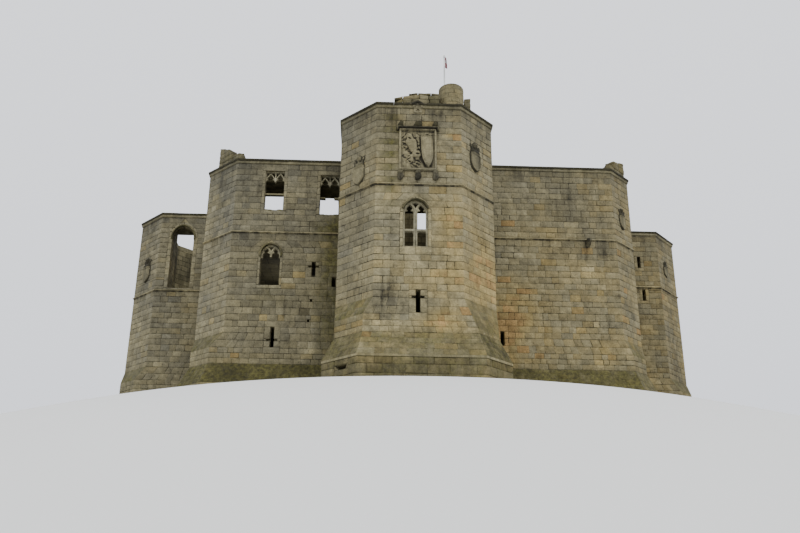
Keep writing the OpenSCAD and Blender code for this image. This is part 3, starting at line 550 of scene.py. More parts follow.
# Growth on the plinth's slope and on the spurs by wall: moss and dark crust
SLOPES = {4: (0.25, 0.08), 3: (0.45, 0.3), 5: (0.4, 0.4), 1: (1.0, 1.3), 0: (0.8, 0.7), 7: (0.75, 0.4),
          2: (0.6, 0.4)}
SPURS = {3: (0.6, 0.12), 5: (0.42, 0.28), 0: (0.55, 0.35), 8: (0.4, 0.2), 29: (0.6, 0.3), 27: (0.6, 0.3)}


def weather(i, s, z):
    """Paint of a wall point: crust and painted shade, moss, pale, warm and plain marks, each a bump
    exp(-(far / spread)^2).
    """
    g = plan()
    p = g.p
    under = np.maximum(g.top[i] - p.coping_h - z, 0)
    gap = g.string[i] - p.string_h - z
    slope_moss, slope_soot = SLOPES.get(i, (0.45, 0.3))
    spur_moss, spur_soot = SPURS.get(i, (0.5, 0.25))
    slope = (z > p.shoulder - 0.001) & (z < p.plinth_top - 0.001)
    low = z < p.shoulder - 0.001
    plain = 0.4 * slope
    # Darker just under the coping and just under the string course: painted shade together with dirt run
    # down from them
    soot = 0.28 * np.exp(-under / 0.35) + 0.1 * np.exp(-under / 2.0)
    soot = soot + 0.22 * np.exp(-np.abs(gap) / 0.12) * (gap > -0.01)
    soot = soot + slope_soot * slope + 0.3 * low
    moss = slope_moss * slope + 0.3 * low + 0.18 * np.exp(-np.maximum(z - p.plinth_top, 0) / 0.4)
    if i % 8 in (0, 3, 5):
        spur = (z > g.foot[i] - 0.02) & (z < p.spur_top + 0.01)
        moss, soot, plain = moss + spur_moss * spur, soot + spur_soot * spur, plain + 0.8 * spur
        moss = moss + 0.25 * np.exp(-np.abs(z - g.foot[i]) / 0.3)
    # Where a turret meets a wall: damp moss, and a darker corner that is painted shade together with dirt
    for k, far in ((i, s), ((i + 1) % POINTS, g.length[i] - s)):
        if g.joins[k]:
            moss = moss + 0.35 * np.exp(-np.abs(far) / 0.5) * np.clip((10 - z) / 9, 0, 1)
            soot = soot + 0.2 * np.exp(-np.abs(far) / 0.35)
    layers = {"soot": soot, "moss": moss, "pale": 0 * z, "warm": 0 * z, "plain": plain}
    for s0, z0, ds, dz, layer, strength in MARKS.get(i, ()):
        bump = strength * np.exp(-((s - s0) / ds) ** 2 - ((z - z0) / dz) ** 2)
        layers[layer] = layers[layer] + bump
    return {name: np.clip(value, 0, 1) for name, value in layers.items()}


# Height under which the squared stones are shorter, and how much; how much longer the rough ones are
SHORT_UNDER, SHORTER, LONGER = 4.6, 0.78, 1.25
# Least distance of a stone's face in front of its joint
LEAST_RELIEF = 0.002
# Seed steps between neighbouring walls and corners, and first seeds of the other stones
WALL_SEED, CORNER_SEED = 97, 1000
STRING_SEED, COPING_SEED, STUMP_SEED, SILL_SEED, STACK_SEED = 500, 700, 900, 60, 77
# Walls that are lighter, darker or yellower than the rest: tone and hue added
MOODS = {0: (0.08, 0), 1: (-0.06, 0), 3: (0.03, 0.06), 4: (0.1, 0.06), 5: (0.1, 0.08), 20: (0.08, 0.06),
         8: (-0.08, 0), 9: (-0.08, 0), 10: (-0.16, 0), 11: (-0.13, 0), 12: (-0.12, 0), 26: (0.03, 0),
         29: (0.04, 0.08), 30: (-0.02, 0.05)}


def wall_mood(i, s, z):
    """Usual tone and hue of a wall's place: greyer to the left and up, yellower to the right and down."""
    g = plan()
    spot = g.upper[i] + np.asarray(s)[..., None] * g.way[i]
    side = np.clip(spot[..., 0] / 12, -1, 1)
    hue = 0.36 + 0.16 * side - 0.1 * np.clip((z - 6) / 6, -1, 1)
    tone = 0.44 + 0.05 * side - 0.04 * np.clip((z - 7) / 5, -1, 1)
    if i in MOODS:
        tone, hue = tone + MOODS[i][0], hue + MOODS[i][1]
    return tone, hue


def lay(pile, i, quads, tone, hue, rng, relief, left=None, right=None):
    """Stones of 4 by 4 points: the ring lies in the joint, the middle stands proud and is a little tilted.

    A stone is a quad of the wall; its points are its corners mixed by u and v, with the first and last
    u and v one worn edge in from the rim. At an arris the rim stands proud too, on the mitre.
    """
    if not len(quads):
        return
    q = bpy.context.scene.keep_stones
    corner = np.asarray(quads, float)
    n = len(corner)
    wide = np.linalg.norm(corner[:, 1] - corner[:, 0], axis=1)
    high = np.linalg.norm(corner[:, 3] - corner[:, 0], axis=1)
    a = np.minimum(q.joint / np.maximum(wide, 1e-3), 0.3)
    b = np.minimum(q.joint / np.maximum(high, 1e-3), 0.3)
    u = np.stack([0 * a, a, 1 - a, 0 * a + 1], 1)[:, None, :, None]
    v = np.stack([0 * b, b, 1 - b, 0 * b + 1], 1)[:, :, None, None]
    c = corner[:, None, None]
    foot, head = ((1 - u) * c[..., k, :] + u * c[..., m, :] for k, m in ((0, 1), (3, 2)))
    spot = (1 - v) * foot + v * head
    s, z = spot[..., 0].copy(), spot[..., 1]
    proud = relief * rng.uniform(0.5, 1.5, (n, 1, 1))
    tilt = relief * rng.normal(0, 0.3, (n, 2, 1, 1))
    w = np.full((n, 4, 4), q.skin)
    lean = proud + tilt[:, 0] * np.array([[[-1], [1]]])
    w[:, 1:3, 1:3] = np.maximum(lean + tilt[:, 1] * np.array([[[-1, 1]]]), q.skin + LEAST_RELIEF)
    joint = np.ones((n, 4, 4))
    joint[:, 1:3, ::3] = 0.7
    joint[:, 1:3, 1:3] = 0
    bottom, top = z.min((1, 2), keepdims=True), z.max((1, 2), keepdims=True)
    inside = np.clip(z, bottom + 1e-4, top - 1e-4)
    for flags, column, is_right in ((left, 0, False), (right, 3, True)):
        if flags is not None and np.any(flags):
            k = np.flatnonzero(flags)
            w[k, 1:3, column] = relief
            joint[k, 1:3, column] = 0.15
            s[k, :, column] = wall_end(i, is_right, inside[k, :, column], w[k, :, column])
    points = on_wall(i, s, z, w, inside)
    marks = weather(i, s, z)
    faces = (SHEET[None] + 16 * np.arange(n)[:, None, None]).reshape(-1, 4)
    area = ((corner[:, 2] - corner[:, 0])[:, 0] * (corner[:, 3] - corner[:, 1])[:, 1]
            - (corner[:, 2] - corner[:, 0])[:, 1] * (corner[:, 3] - corner[:, 1])[:, 0])
    turned = np.repeat(area < 0, 9)
    faces[turned] = faces[turned][:, ::-1]
    ones = np.ones((1, 4, 4))
    pile.add(points, [faces], tone=np.asarray(tone)[:, None, None] * ones + marks["pale"],
             hue=np.asarray(hue)[:, None, None] * ones + marks["warm"], joint=joint * (1 - marks["plain"]),
             soot=marks["soot"], moss=marks["moss"])


def split(width, usual, rng, first=0, last=0):
    """Joint places in a stretch of wall, 0 to 1: random lengths about the usual one, quoins at the ends."""
    inner = width - first - last
    if inner < 0.25:
        return np.linspace(0, 1, max(1, round(width / usual)) + 1)
    n = max(1, round(inner / usual))
    steps = rng.uniform(0.62, 1.38, n)
    cuts = first + inner * np.cumsum(steps) / steps.sum()
    cuts = np.concatenate([[0], [first] if first else [], cuts, [width] if last else []])
    return cuts / width


def course(pile, i, z0, z1, row, rng):
    """One course of wall i: stones between the arrises and the openings' frames."""
    g, q = plan(), bpy.context.scene.keep_stones
    ends = np.array([z0 + 1e-4, z1 - 1e-4])
    edges = [wall_end(i, False, ends, np.zeros(2))]
    for o in sorted((o for o in openings() if o.i == i), key=lambda o: o.s):
        low, high, half = hole(o)
        if low > z1 - 0.02 or high < z0 + 0.02:
            continue
        h = half(ends)
        if h.max() <= 0:
            continue
        edges += [o.s - h, o.s + h]
    edges.append(wall_end(i, True, ends, np.zeros(2)))
    rough = z1 < g.p.shoulder
    for k in range(0, len(edges), 2):
        lo, hi = edges[k], edges[k + 1]
        width = float((hi - lo).mean())
        if width < 0.05:
            continue
        at_left = k == 0 and not g.joins[i]
        at_right = k == len(edges) - 2 and not g.joins[(i + 1) % POINTS]
        first = (q.quoin_long, q.quoin_short)[(row + i) % 2] if at_left else 0
        last = (q.quoin_short, q.quoin_long)[(row + i + 1) % 2] if at_right else 0
        usual = q.stone * (LONGER if rough else SHORTER if z0 < SHORT_UNDER else 1)
        cuts = split(width, usual, rng, first, last)
        bottom, top = lo[0] + cuts * (hi[0] - lo[0]), lo[1] + cuts * (hi[1] - lo[1])
        quads = np.stack([np.stack([bottom[:-1], bottom[1:], top[1:], top[:-1]], 1),
                          np.broadcast_to([z0, z0, z1, z1], (len(cuts) - 1, 4))], -1)
        n = len(quads)
        tone, hue = wall_mood(i, quads[:, :2, 0].mean(1), np.full(n, z0))
        odd = rng.random(n)
        tone = tone + rng.normal(0, 0.05, n) - 0.1 * rough + 0.14 * (odd > 0.95) - 0.1 * (odd < 0.04)
        hue = hue + rng.normal(0, 0.07, n) + 0.3 * (rng.random(n) > 0.965)
        for flag, at, corner in ((at_left, 0, i), (at_right, -1, (i + 1) % POINTS)):
            if flag:
                shade = np.random.default_rng(CORNER_SEED * corner + row).uniform(-0.04, 0.1)
                tone[at] = wall_mood(i, quads[at, :1, 0], z0)[0][0] + shade
        mask_l, mask_r = np.zeros(n, bool), np.zeros(n, bool)
        mask_l[0], mask_r[-1] = at_left, at_right
        lay(pile, i, quads, tone, hue, rng, q.rough if rough else q.relief, mask_l, mask_r)


def bands(i):
    """Courses of wall i as (low, high, number), with the lip, the string course and the coping left out."""
    g = plan()
    p = g.p
    low, top = p.shoulder - p.lip_h, g.top[i] - p.coping_h
    string = (g.string[i] - p.string_h, g.string[i])
    rows = beds()
    for number, (z0, z1) in enumerate(zip(rows, rows[1:])):
        if abs(z0 - low) < 1e-6:
            continue
        z1 = min(z1, top)
        crossed = z0 < string[1] and z1 > string[0]
        parts = [(z0, min(z1, string[0])), (max(z0, string[1]), z1)] if crossed else [(z0, z1)]
        for a, b in parts:
            if b - a > 0.045:
                yield a, b, number


def stone_walls(name, walls, slot):
    """Stones of some walls as one piece."""
    q = bpy.context.scene.keep_stones
    pile = Pile()
    for i in walls:
        rng = np.random.default_rng(q.seed + WALL_SEED * i)
        for z0, z1, number in bands(i):
            course(pile, i, z0, z1, number, rng)
        for o in (o for o in openings() if o.i == i):
            quads = frame_quads(o)
            n = len(quads)
            tone, hue = wall_mood(i, np.full(n, o.s), np.full(n, o.z))
            pale = 0.12 if o.kind == "pointed" else 0.05
            tone = tone + pale + rng.normal(0, 0.04, n)
            hue = hue + rng.normal(0, 0.05, n)
            lay(pile, i, quads, tone, hue, rng, q.relief)
    pile.piece(name, "masonry", slot, closed=False)


# Mouldings

def moulding(pile, i, s0, s1, profile, z, ends, drop, **paint):
    """A moulded stone on wall i: its profile (d out, up) carried from s0 to s1, on the mitre at an arris."""
    g = plan()
    d, up = profile[:, 0], profile[:, 1]
    rings = []
    for s, end in ((s0, ends[0]), (s1, ends[1])):
        if end is None:
            flat = g.upper[i] + s * g.way[i] + d[:, None] * g.out[i]
        else:
            lean = np.where((d[:, None] < 0) & g.joins[end], g.out[i], g.mitre[end])
            flat = g.upper[end] + d[:, None] * lean
        rings.append(np.concatenate([flat, (z + up)[:, None]], 1))
    rings = np.array(rings)
    if ends[0] is None and ends[1] is None:
        rings = rings + np.append(-abs(drop) * g.out[i], drop * 0.5)
    pile.add(rings, loft(rings), **{k: np.broadcast_to(v, rings.shape[:2]) for k, v in paint.items()})


def run_moulding(pile, i, profile, z, usual, rng, paint, gap=0.004):
    """Moulded stones end to end along wall i, each a little out of line, with thin joints."""
    g = plan()
    cuts = g.length[i] * split(g.length[i], usual, rng)
    for k, (a, b) in enumerate(zip(cuts, cuts[1:])):
        ends = (i if k == 0 else None, (i + 1) % POINTS if k == len(cuts) - 2 else None)
        tone = rng.normal(0, 0.09)
        extra = {name: value + (tone if name == "tone" else 0) for name, value in paint.items()}
        moulding(pile, i, a + gap, b - gap, profile, z, ends, rng.normal(0, 0.003), **extra)


# Carving, tracery and broken stones

def on_face(i, s, z, d):
    """Point of wall i above its plinth: s along the wall, z up, d out of its face, minus into it."""
    g = plan()
    s, z, d = np.broadcast_arrays(s, z, d)
    flat = g.upper[i] + s[..., None] * g.way[i] + d[..., None] * g.out[i]
    return np.concatenate([flat, z[..., None]], -1)


def section(width, back, front, edge):
    """Section of a bar: across it and out of the wall, its two front edges cut off by edge."""
    a = width / 2
    return np.array([(-a, back), (a, back), (a, front - edge), (a - edge, front), (edge - a, front),
                     (-a, front - edge)])


def sweep(pile, i, s0, z0, path, profile, worn=0.004, **paint):
    """A profile carried along a path in the wall's plane, mitred at its bends; both count from (s0, z0)."""
    path = np.asarray(path, float)
    way = np.diff(path, axis=0)
    way = way / np.linalg.norm(way, axis=1)[:, None]
    left = np.stack([-way[:, 1], way[:, 0]], 1)
    before, after = np.vstack([left[:1], left]), np.vstack([left, left[-1:]])
    mitre = (before + after) / (1 + (before * after).sum(1))[:, None]
    flat = path[:, None] + profile[None, :, :1] * mitre[:, None]
    points = on_face(i, s0 + flat[..., 0], z0 + flat[..., 1], profile[:, 1])
    pile.add(points + wobble(points, worn), loft(points), **paint)


def slab(pile, i, s0, z0, edge_line, back, front, edge=0.012, **paint):
    """A flat stone in the wall's plane: its edge line at the back, drawn in to its middle at the front."""
    line = np.asarray(edge_line, float)
    inward = line.mean(0) - line
    small = line + edge * inward / np.maximum(np.linalg.norm(inward, axis=1), 1e-6)[:, None]
    rings = np.stack([on_face(i, s0 + q[:, 0], z0 + q[:, 1], d)
                      for q, d in ((line, back), (line, front - edge), (small, front))])
    pile.add(rings, loft(rings), **paint)


def curve(points, count=9):
    """Smooth line by two, three or four steering points: their Bernstein mix."""
    q = np.asarray(points, float)
    n = len(q) - 1
    t = np.linspace(0, 1, count)[:, None]
    return sum(math.comb(n, k) * (1 - t) ** (n - k) * t ** k * q[k] for k in range(n + 1))


def pointed_path(w, spring, rise, extra=0.0, foot=0.0, count=12):
    """Line up the right jamb, along both arcs of a pointed arch and down the left, extra outside it."""
    a = w / 2
    c = (rise * rise - a * a) / w
    far = a + c + extra
    t = np.linspace(0, math.acos(c / far), count)
    right = np.stack([far * np.cos(t) - c, spring + far * np.sin(t)], 1)
    return np.vstack([[(a + extra, foot)], right, right[-2::-1] * [-1, 1], [(-a - extra, foot)]])


def cusp(pile, i, s0, z0, low, tip, high, back, front, **paint):
    """A cusp: its two hollow edges run from low and high on the bar to the tip."""
    low, tip, high = (np.array(q, float) for q in (low, tip, high))
    middle = (low + high) / 2
    edges = [curve([q, (q + tip) / 4 + middle / 2, tip], 6) for q in (low, high)]
    slab(pile, i, s0, z0, np.vstack([edges[0], edges[1][-2::-1]]), back, front, 0.008, **paint)


@functools.lru_cache(maxsize=None)
def rounded_cube(parts, ball_share):
    """Points and quads of a cube from -1 to 1, each edge cut in parts, mixed with the ball inside it."""
    t = np.linspace(-1, 1, parts + 1)
    u, v = np.meshgrid(t, t, indexing="ij")
    index = np.arange((parts + 1) ** 2).reshape(parts + 1, parts + 1)
    quad = np.stack([index[:-1, :-1], index[1:, :-1], index[1:, 1:], index[:-1, 1:]], -1).reshape(-1, 4)
    points, quads = [], []
    for axis in range(3):
        for sign in (-1, 1):
            side = np.stack([np.full(u.shape, sign), u, v], -1).reshape(-1, 3)
            points.append(np.roll(side, axis, 1))
            quads.append((quad if sign > 0 else quad[:, ::-1]) + len(index.ravel()) * len(quads))
    points, same = np.unique(np.round(np.concatenate(points), 6), axis=0, return_inverse=True)
    ball = points / np.linalg.norm(points, axis=1)[:, None]
    return (1 - ball_share) * points + ball_share * ball, same.ravel()[np.concatenate(quads)]


def blocks(pile, corners, rough, seed, parts=4, ball_share=0.16, **paint):
    """Rounded stones in cells of eight corners (n, 2, 2, 2, 3): the cube's points mix them by x, y and z."""
    cube, quads = rounded_cube(parts, ball_share)
    f = (cube + 1) / 2
    share = np.stack([1 - f, f], 1)
    points = np.einsum("nabcx,ma,mb,mc->nmx", np.asarray(corners),
                       share[..., 0], share[..., 1], share[..., 2])
    faces = (quads[None] + len(cube) * np.arange(len(points))[:, None, None]).reshape(-1, 4)
    pile.add(points + wobble(points, rough, seed), [faces],
             **{k: np.asarray(v, float).reshape(-1, 1) for k, v in paint.items()})


def standing(i, s, d):
    """Plan point of wall i at s and d out of it; at either end it lies on the mitre of the two walls."""
    g = plan()
    for k, end in ((i, 0), ((i + 1) % POINTS, g.length[i])):
        if abs(s - end) < 0.001:
            return g.upper[k] + d * g.mitre[k]
    return g.upper[i] + s * g.way[i] + d * g.out[i]


# Height of a course of the parapet's stones, and of one of the stones' length
RUBBLE_H, RUBBLE_L = 0.235, 0.42


def broken_wall(pile, i, s0, s1, tops, back, thick, rng):
    """Courses of loose-edged stones on the coping from s0 to s1, cut off by a line of heights over s."""
    base = plan().top[i]
    places, heights = (np.array(v) for v in zip(*tops))
    rows = np.arange(0, heights.max(), RUBBLE_H)
    cells, tone = [], []
    for low in rows:
        cuts = s0 + (s1 - s0) * split(s1 - s0, RUBBLE_L, rng)
        for a, b in zip(cuts, cuts[1:]):
            high = [min(low + RUBBLE_H, float(np.interp(x, places, heights))) for x in (a, b)]
            if max(high) < low + 0.035:
                continue
            out = rng.uniform(-0.03, 0.0)
            cells.append([[[[*standing(i, x, -d), base + z] for z in (low, max(top, low + 0.01))]
                           for d in (back + thick, back - out)] for x, top in ((a, high[0]), (b, high[1]))])
            tone.append(rng.normal(0.42, 0.07))
    n = len(cells)
    blocks(pile, cells, 0.016, i, tone=tone, hue=rng.normal(0.42, 0.08, n), soot=rng.uniform(0.1, 0.45, n),
           moss=rng.uniform(0.1, 0.5, n))


def lump(x, z, x0, z0, x1, z1, r0, r1, high=0.7):
    """Height over a bone from (x0, z0) to (x1, z1): half a ball section whose radius goes from r0 to r1."""
    along = ((x - x0) * (x1 - x0) + (z - z0) * (z1 - z0)) / max((x1 - x0) ** 2 + (z1 - z0) ** 2, 1e-9)
    t = np.clip(along, 0, 1)
    far = np.hypot(x - x0 - t * (x1 - x0), z - z0 - t * (z1 - z0))
    r = r0 + t * (r1 - r0)
    return high * r * np.sqrt(np.clip(1 - (far / r) ** 2, 0, None))


def bones(x, z, rows, high=0.7):
    """The highest of several lumps."""
    return np.max([lump(x, z, *row, high) for row in rows], axis=0)


def softened(grid, steps):
    """Each point becomes the mean of itself and its four neighbours, so many times over."""
    for _ in range(steps):
        near = np.pad(grid, 1, mode="edge")
        grid = (near[1:-1, 1:-1] + near[:-2, 1:-1] + near[2:, 1:-1] + near[1:-1, :-2] + near[1:-1, 2:]) / 5
    return grid


def hollows(depth, steps):
    """How far each point lies under the mean of what surrounds it, spread over more steps; 1 is 2 cm. The
    carvings paint it dark as shade.
    """
    return np.clip((softened(depth, steps) - depth) / 0.02, 0, 1)


def relief(pile, i, s0, z0, x, z, depth, back, **paint):
    """A carved surface on wall i: depth over the grid x, z, with sides down to a flat back."""
    index = np.arange(depth.size).reshape(depth.shape)
    rim = np.concatenate([index[0, :-1], index[:-1, -1], index[-1, :0:-1], index[:0:-1, 0]])
    front = on_face(i, s0 + x, z0 + z, depth).reshape(-1, 3)
    behind = on_face(i, s0 + x.ravel()[rim], z0 + z.ravel()[rim], back)
    new = depth.size + np.arange(len(rim))
    faces = [np.stack([index[:-1, :-1], index[:-1, 1:], index[1:, 1:], index[1:, :-1]], -1).reshape(-1, 4),
             np.stack([rim, np.roll(rim, -1), np.roll(new, -1), new], 1), new[None]]
    layers = {}
    for name, value in paint.items():
        value = np.broadcast_to(value, depth.shape).ravel()
        layers[name] = np.concatenate([value, value[rim]])
    pile.add(np.concatenate([front, behind]), faces, **layers)


def lathe(pile, middle, radius, z, count=48, **paint):
    """A profile turned round an upright axis: radius over z, closed at both ends."""
    t = np.linspace(0, TAU, count + 1)[:-1]
    rings = np.stack([middle[0] + radius[:, None] * np.cos(t), middle[1] + radius[:, None] * np.sin(t),
                      np.broadcast_to(np.asarray(z)[:, None], (len(z), count))], -1)
    pile.add(rings, loft(rings), **paint)


# Finishes

def node(tree, kind, **values):
    """Adds a shader node: attributes by name, inputs by name or number, links where a socket is given."""
    new = tree.nodes.new("ShaderNode" + kind)
    for name, value in values.items():
        if hasattr(new, name) and not name.startswith("in_"):
            setattr(new, name, value)
            continue
        key = name[3:]
        socket = new.inputs[int(key)] if key.isdigit() else new.inputs[key.replace("_", " ")]
        if isinstance(value, bpy.types.NodeSocket):
            tree.links.new(value, socket)
        else:
            socket.default_value = value
    return new


def noise(tree, vector, scale, detail=4.0, rough=0.55):
    """Noise between 0 and 1 at so many waves a metre."""
    return node(tree, "TexNoise", in_Vector=vector, in_Scale=scale, in_Detail=detail,
                in_Roughness=rough).outputs["Fac"]


def reckon(tree, operation, a, b, c=0.5, clamp=False):
    """One sum of two numbers or sockets, or of three where the operation takes so many."""
    return node(tree, "Math", operation=operation, use_clamp=clamp,
                in_0=a, in_1=b, in_2=c).outputs[0]


def plus(tree, a, b, clamp=False):
    """Two numbers or sockets added."""
    return reckon(tree, "ADD", a, b, clamp=clamp)


def times(tree, a, b, clamp=False):
    """Two numbers or sockets multiplied."""
    return reckon(tree, "MULTIPLY", a, b, clamp=clamp)


def ranged(tree, value, low, high, to_low=0.0, to_high=1.0):
    """Smooth step from low to high."""
    return node(tree, "MapRange", interpolation_type="SMOOTHSTEP", in_Value=value,
                in_1=low, in_2=high, in_3=to_low, in_4=to_high).outputs[0]


def blend(tree, share, a, b):
    """Mixes two colours."""
    return node(tree, "Mix", data_type="RGBA", in_0=share, in_6=a, in_7=b).outputs[2]


def paint_layer(tree, name):
    """A layer of paint that the mesh carries."""
    return node(tree, "Attribute", attribute_name=name).outputs["Fac"]


def four(values):
    """A colour property with its alpha."""
    return (*values, 1.0)


def ramp(tree, value, stops):
    """Colours along a value."""
    new = node(tree, "ValToRGB", in_0=value)
    bar = new.color_ramp
    bar.elements[0].position, bar.elements[0].color = stops[0]
    bar.elements[1].position, bar.elements[1].color = stops[-1]
    for place, tint in stops[1:-1]:
        bar.elements.new(place).color = tint
    return new.outputs[0]


def started(name):
    """A new material with its shader, and the object's own place as the pattern's space."""
    material = bpy.data.materials.new(name)
    material.use_nodes = True
    tree = material.node_tree
    place = tree.nodes.new("ShaderNodeTexCoord").outputs["Object"]
    return material, tree, tree.nodes["Principled BSDF"], place


def surfaced(tree, shader, tint, rough, specular=0.5):
    """Gives the shader its colour, its roughness and its specular level."""
    tree.links.new(tint, shader.inputs["Base Color"])
    shader.inputs["Roughness"].default_value = rough
    shader.inputs["Specular IOR Level"].default_value = specular


def bumped(tree, shader, height, strength, depth):
    """Gives the shader its bumps, depth metres deep where the height goes from 0 to 1."""
    bump = node(tree, "Bump", in_Strength=strength, in_Distance=depth, in_Height=height)
    tree.links.new(bump.outputs[0], shader.inputs["Normal"])


def squeezed(tree, vector, x, y, z):
    """The pattern's space scaled by axis."""
    return node(tree, "Mapping", in_Vector=vector, in_Scale=(x, y, z)).outputs[0]


def scaled(tree, tint, value):
    """A colour times a number."""
    return node(tree, "VectorMath", operation="SCALE", in_0=tint, in_Scale=value).outputs[0]


# How much darker the stones are than their colours read, as the sky over them is bright
DEEP = 0.74


def stone_colour(tree, place, tone, hue, joint, soot, moss):
    """Sandstone: colour by hue, lightness by tone and grain, then joints, crust and painted shade, streaks,
    moss and algae.
    """
    c = bpy.context.scene.keep_colours
    large, middle, fine = (noise(tree, place, s, 5, 0.62) for s in (0.4, 3.4, 19.0))
    shift = times(tree, reckon(tree, "SUBTRACT", large, 0.5), 0.9)
    base = ramp(tree, plus(tree, hue, shift, True),
                [(0.0, four(c.grey)), (0.4, four(c.buff)), (0.75, four(c.ochre)), (0.9, four(c.pink)),
                 (1.0, four(c.pink))])
    light = plus(tree, times(tree, tone, 1.15), 0.16)
    grain = plus(tree, times(tree, fine, 0.5), times(tree, middle, 0.5))
    light = times(tree, light, ranged(tree, fine, 0.32, 0.68, 0.84, 1.16))
    light = times(tree, light, ranged(tree, middle, 0.34, 0.66, 0.82, 1.16))
    light = times(tree, light, ranged(tree, large, 0.34, 0.62, 0.88, 1.06))
    pits = ranged(tree, noise(tree, place, 8.0, 6, 0.72), 0.56, 0.66, 1.0, 0.62)
    tint = scaled(tree, base, times(tree, light, pits))
    ragged = times(tree, reckon(tree, "SUBTRACT", noise(tree, place, 5.5, 5, 0.7), 0.5), 2.4)
    in_joint = reckon(tree, "GREATER_THAN", joint, 0.01)
    edge = plus(tree, joint, times(tree, ragged, in_joint))
    fade = ranged(tree, noise(tree, place, 0.7, 5), 0.38, 0.62, 0.5, 0.92)
    tint = blend(tree, times(tree, ranged(tree, edge, 0.2, 0.8), fade), tint, four(c.mortar))
    streak = noise(tree, squeezed(tree, place, 2.2, 2.2, 0.17), 1.3, 6, 0.6)
    # The dark layer, streaked, holds dark crust and painted shade alike
    shade_and_crust = times(tree, soot, ranged(tree, streak, 0.4, 0.6, 0.6, 1.35))
    blot = ranged(tree, noise(tree, place, 1.3, 7, 0.7), 0.53, 0.7, 0.0, 0.34)
    stain = ranged(tree, streak, 0.52, 0.72, 0.0, 0.16)
    shade_and_crust = plus(tree, plus(tree, shade_and_crust, blot), stain)
    tint = blend(tree, reckon(tree, "MINIMUM", shade_and_crust, 0.93), tint, four(c.soot))
    tuft = ranged(tree, noise(tree, place, 7.0, 8, 0.75), 0.34, 0.66)
    growth = blend(tree, tuft, four(c.olive), four(c.moss))
    growth = scaled(tree, growth, ranged(tree, noise(tree, place, 0.9, 4), 0.35, 0.65, 0.75, 1.15))
    thick = ranged(tree, noise(tree, place, 2.4, 7, 0.7), 0.3, 0.62, 0.45, 1.15)
    cover = times(tree, moss, thick, True)
    tint = blend(tree, reckon(tree, "MINIMUM", cover, 0.88), tint, growth)
    return scaled(tree, tint, DEEP), grain


def rough_bump(tree, shader, place, grain, depth):
    """Pitted and grainy surface, deepest in the worn spots."""
    pits = ranged(tree, noise(tree, place, 9.0, 6, 0.7), 0.35, 0.6)
    bumped(tree, shader, plus(tree, times(tree, pits, 0.7), grain), 0.9, depth)


def brick_layers(tree, place, wide, high, seed_tone):
    """Courses on a plain wall of any direction: the pattern runs along it, across its true normal."""
    normal = node(tree, "NewGeometry").outputs["True Normal"]
    along = node(tree, "VectorMath", operation="CROSS_PRODUCT", in_0=normal, in_1=(0, 0, 1))
    run = node(tree, "VectorMath", operation="DOT_PRODUCT", in_0=place,
               in_1=along.outputs[0]).outputs["Value"]
    rise = node(tree, "SeparateXYZ", in_0=place).outputs[2]
    wall = node(tree, "CombineXYZ", in_0=run, in_1=rise).outputs[0]
    brick = node(tree, "TexBrick", in_Vector=wall, in_Color1=(0, 0, 0, 1), in_Color2=(1, 1, 1, 1),
                 in_Mortar=(0.5, 0.5, 0.5, 1), in_Scale=1.0, in_Brick_Width=wide, in_Row_Height=high,
                 in_Mortar_Size=0.012, in_Mortar_Smooth=0.35)
    tone = node(tree, "SeparateColor", in_0=brick.outputs["Color"]).outputs[0]
    return plus(tree, times(tree, tone, 0.45), seed_tone), brick.outputs["Fac"]


def painted_finish(name, depth):
    """Stone painted by the mesh, with pits of that depth."""
    material, tree, shader, place = started(name)
    tint, grain = stone_colour(tree, place, *(paint_layer(tree, layer) for layer in LAYERS))
    surfaced(tree, shader, tint, 0.92, 0.22)
    rough_bump(tree, shader, place, grain, depth)
    return material


def coursed_finish(name, lightness):
    """Core and inner faces of the walls: courses by pattern, darker at the top and in the joints.

    The plinth's lip, 1.025 high and 0.04 up and down from there, is a little lighter and has no joints.
    """
    material, tree, shader, place = started(name)
    tone, joint = brick_layers(tree, place, 0.54, 0.285, lightness)
    height = node(tree, "SeparateXYZ", in_0=place).outputs[2]
    lip = reckon(tree, "COMPARE", height, 1.025, 0.04)
    tone = plus(tree, tone, times(tree, lip, 0.04))
    joint = times(tree, joint, reckon(tree, "SUBTRACT", 1.0, lip))
    soot = ranged(tree, height, 8.5, 10.5, 0.1, 0.5)
    moss = ranged(tree, height, 0.2, 1.6, 0.5, 0.15)
    tint, grain = stone_colour(tree, place, tone, 0.4, joint, soot, moss)
    surfaced(tree, shader, tint, 0.94, 0.2)
    bumped(tree, shader, reckon(tree, "SUBTRACT", grain, times(tree, joint, 1.4)), 1.0, 0.014)
    return material


def dressed_finish():
    """The spout, and the tracery under the carved pieces: fine stone, dark crust, lichen on top."""
    material, tree, shader, place = started("dressed")
    normal = node(tree, "NewGeometry").outputs["Normal"]
    up = node(tree, "SeparateXYZ", in_0=normal).outputs[2]
    lichen = ranged(tree, up, 0.25, 0.8, 0.05, 0.75)
    tint, grain = stone_colour(tree, place, 0.45, 0.3, 0.0, 0.75, lichen)
    surfaced(tree, shader, tint, 0.9, 0.22)
    rough_bump(tree, shader, place, grain, 0.006)
    return material


def flagstone_finish():
    """Worn paving of the floors: slabs by pattern, dark joints, moss where it is wet."""
    material, tree, shader, place = started("flagstones")
    brick = node(tree, "TexBrick", in_Vector=place, in_Color1=(0, 0, 0, 1), in_Color2=(1, 1, 1, 1),
                 in_Scale=1.0, in_Brick_Width=0.9, in_Row_Height=0.62, in_Mortar_Size=0.018)
    tone = node(tree, "SeparateColor", in_0=brick.outputs["Color"]).outputs[0]
    tone = plus(tree, times(tree, tone, 0.3), 0.25)
    tint, grain = stone_colour(tree, place, tone, 0.25, brick.outputs["Fac"], 0.15, 0.35)
    surfaced(tree, shader, tint, 0.85)
    rough_bump(tree, shader, place, grain, 0.008)
    return material


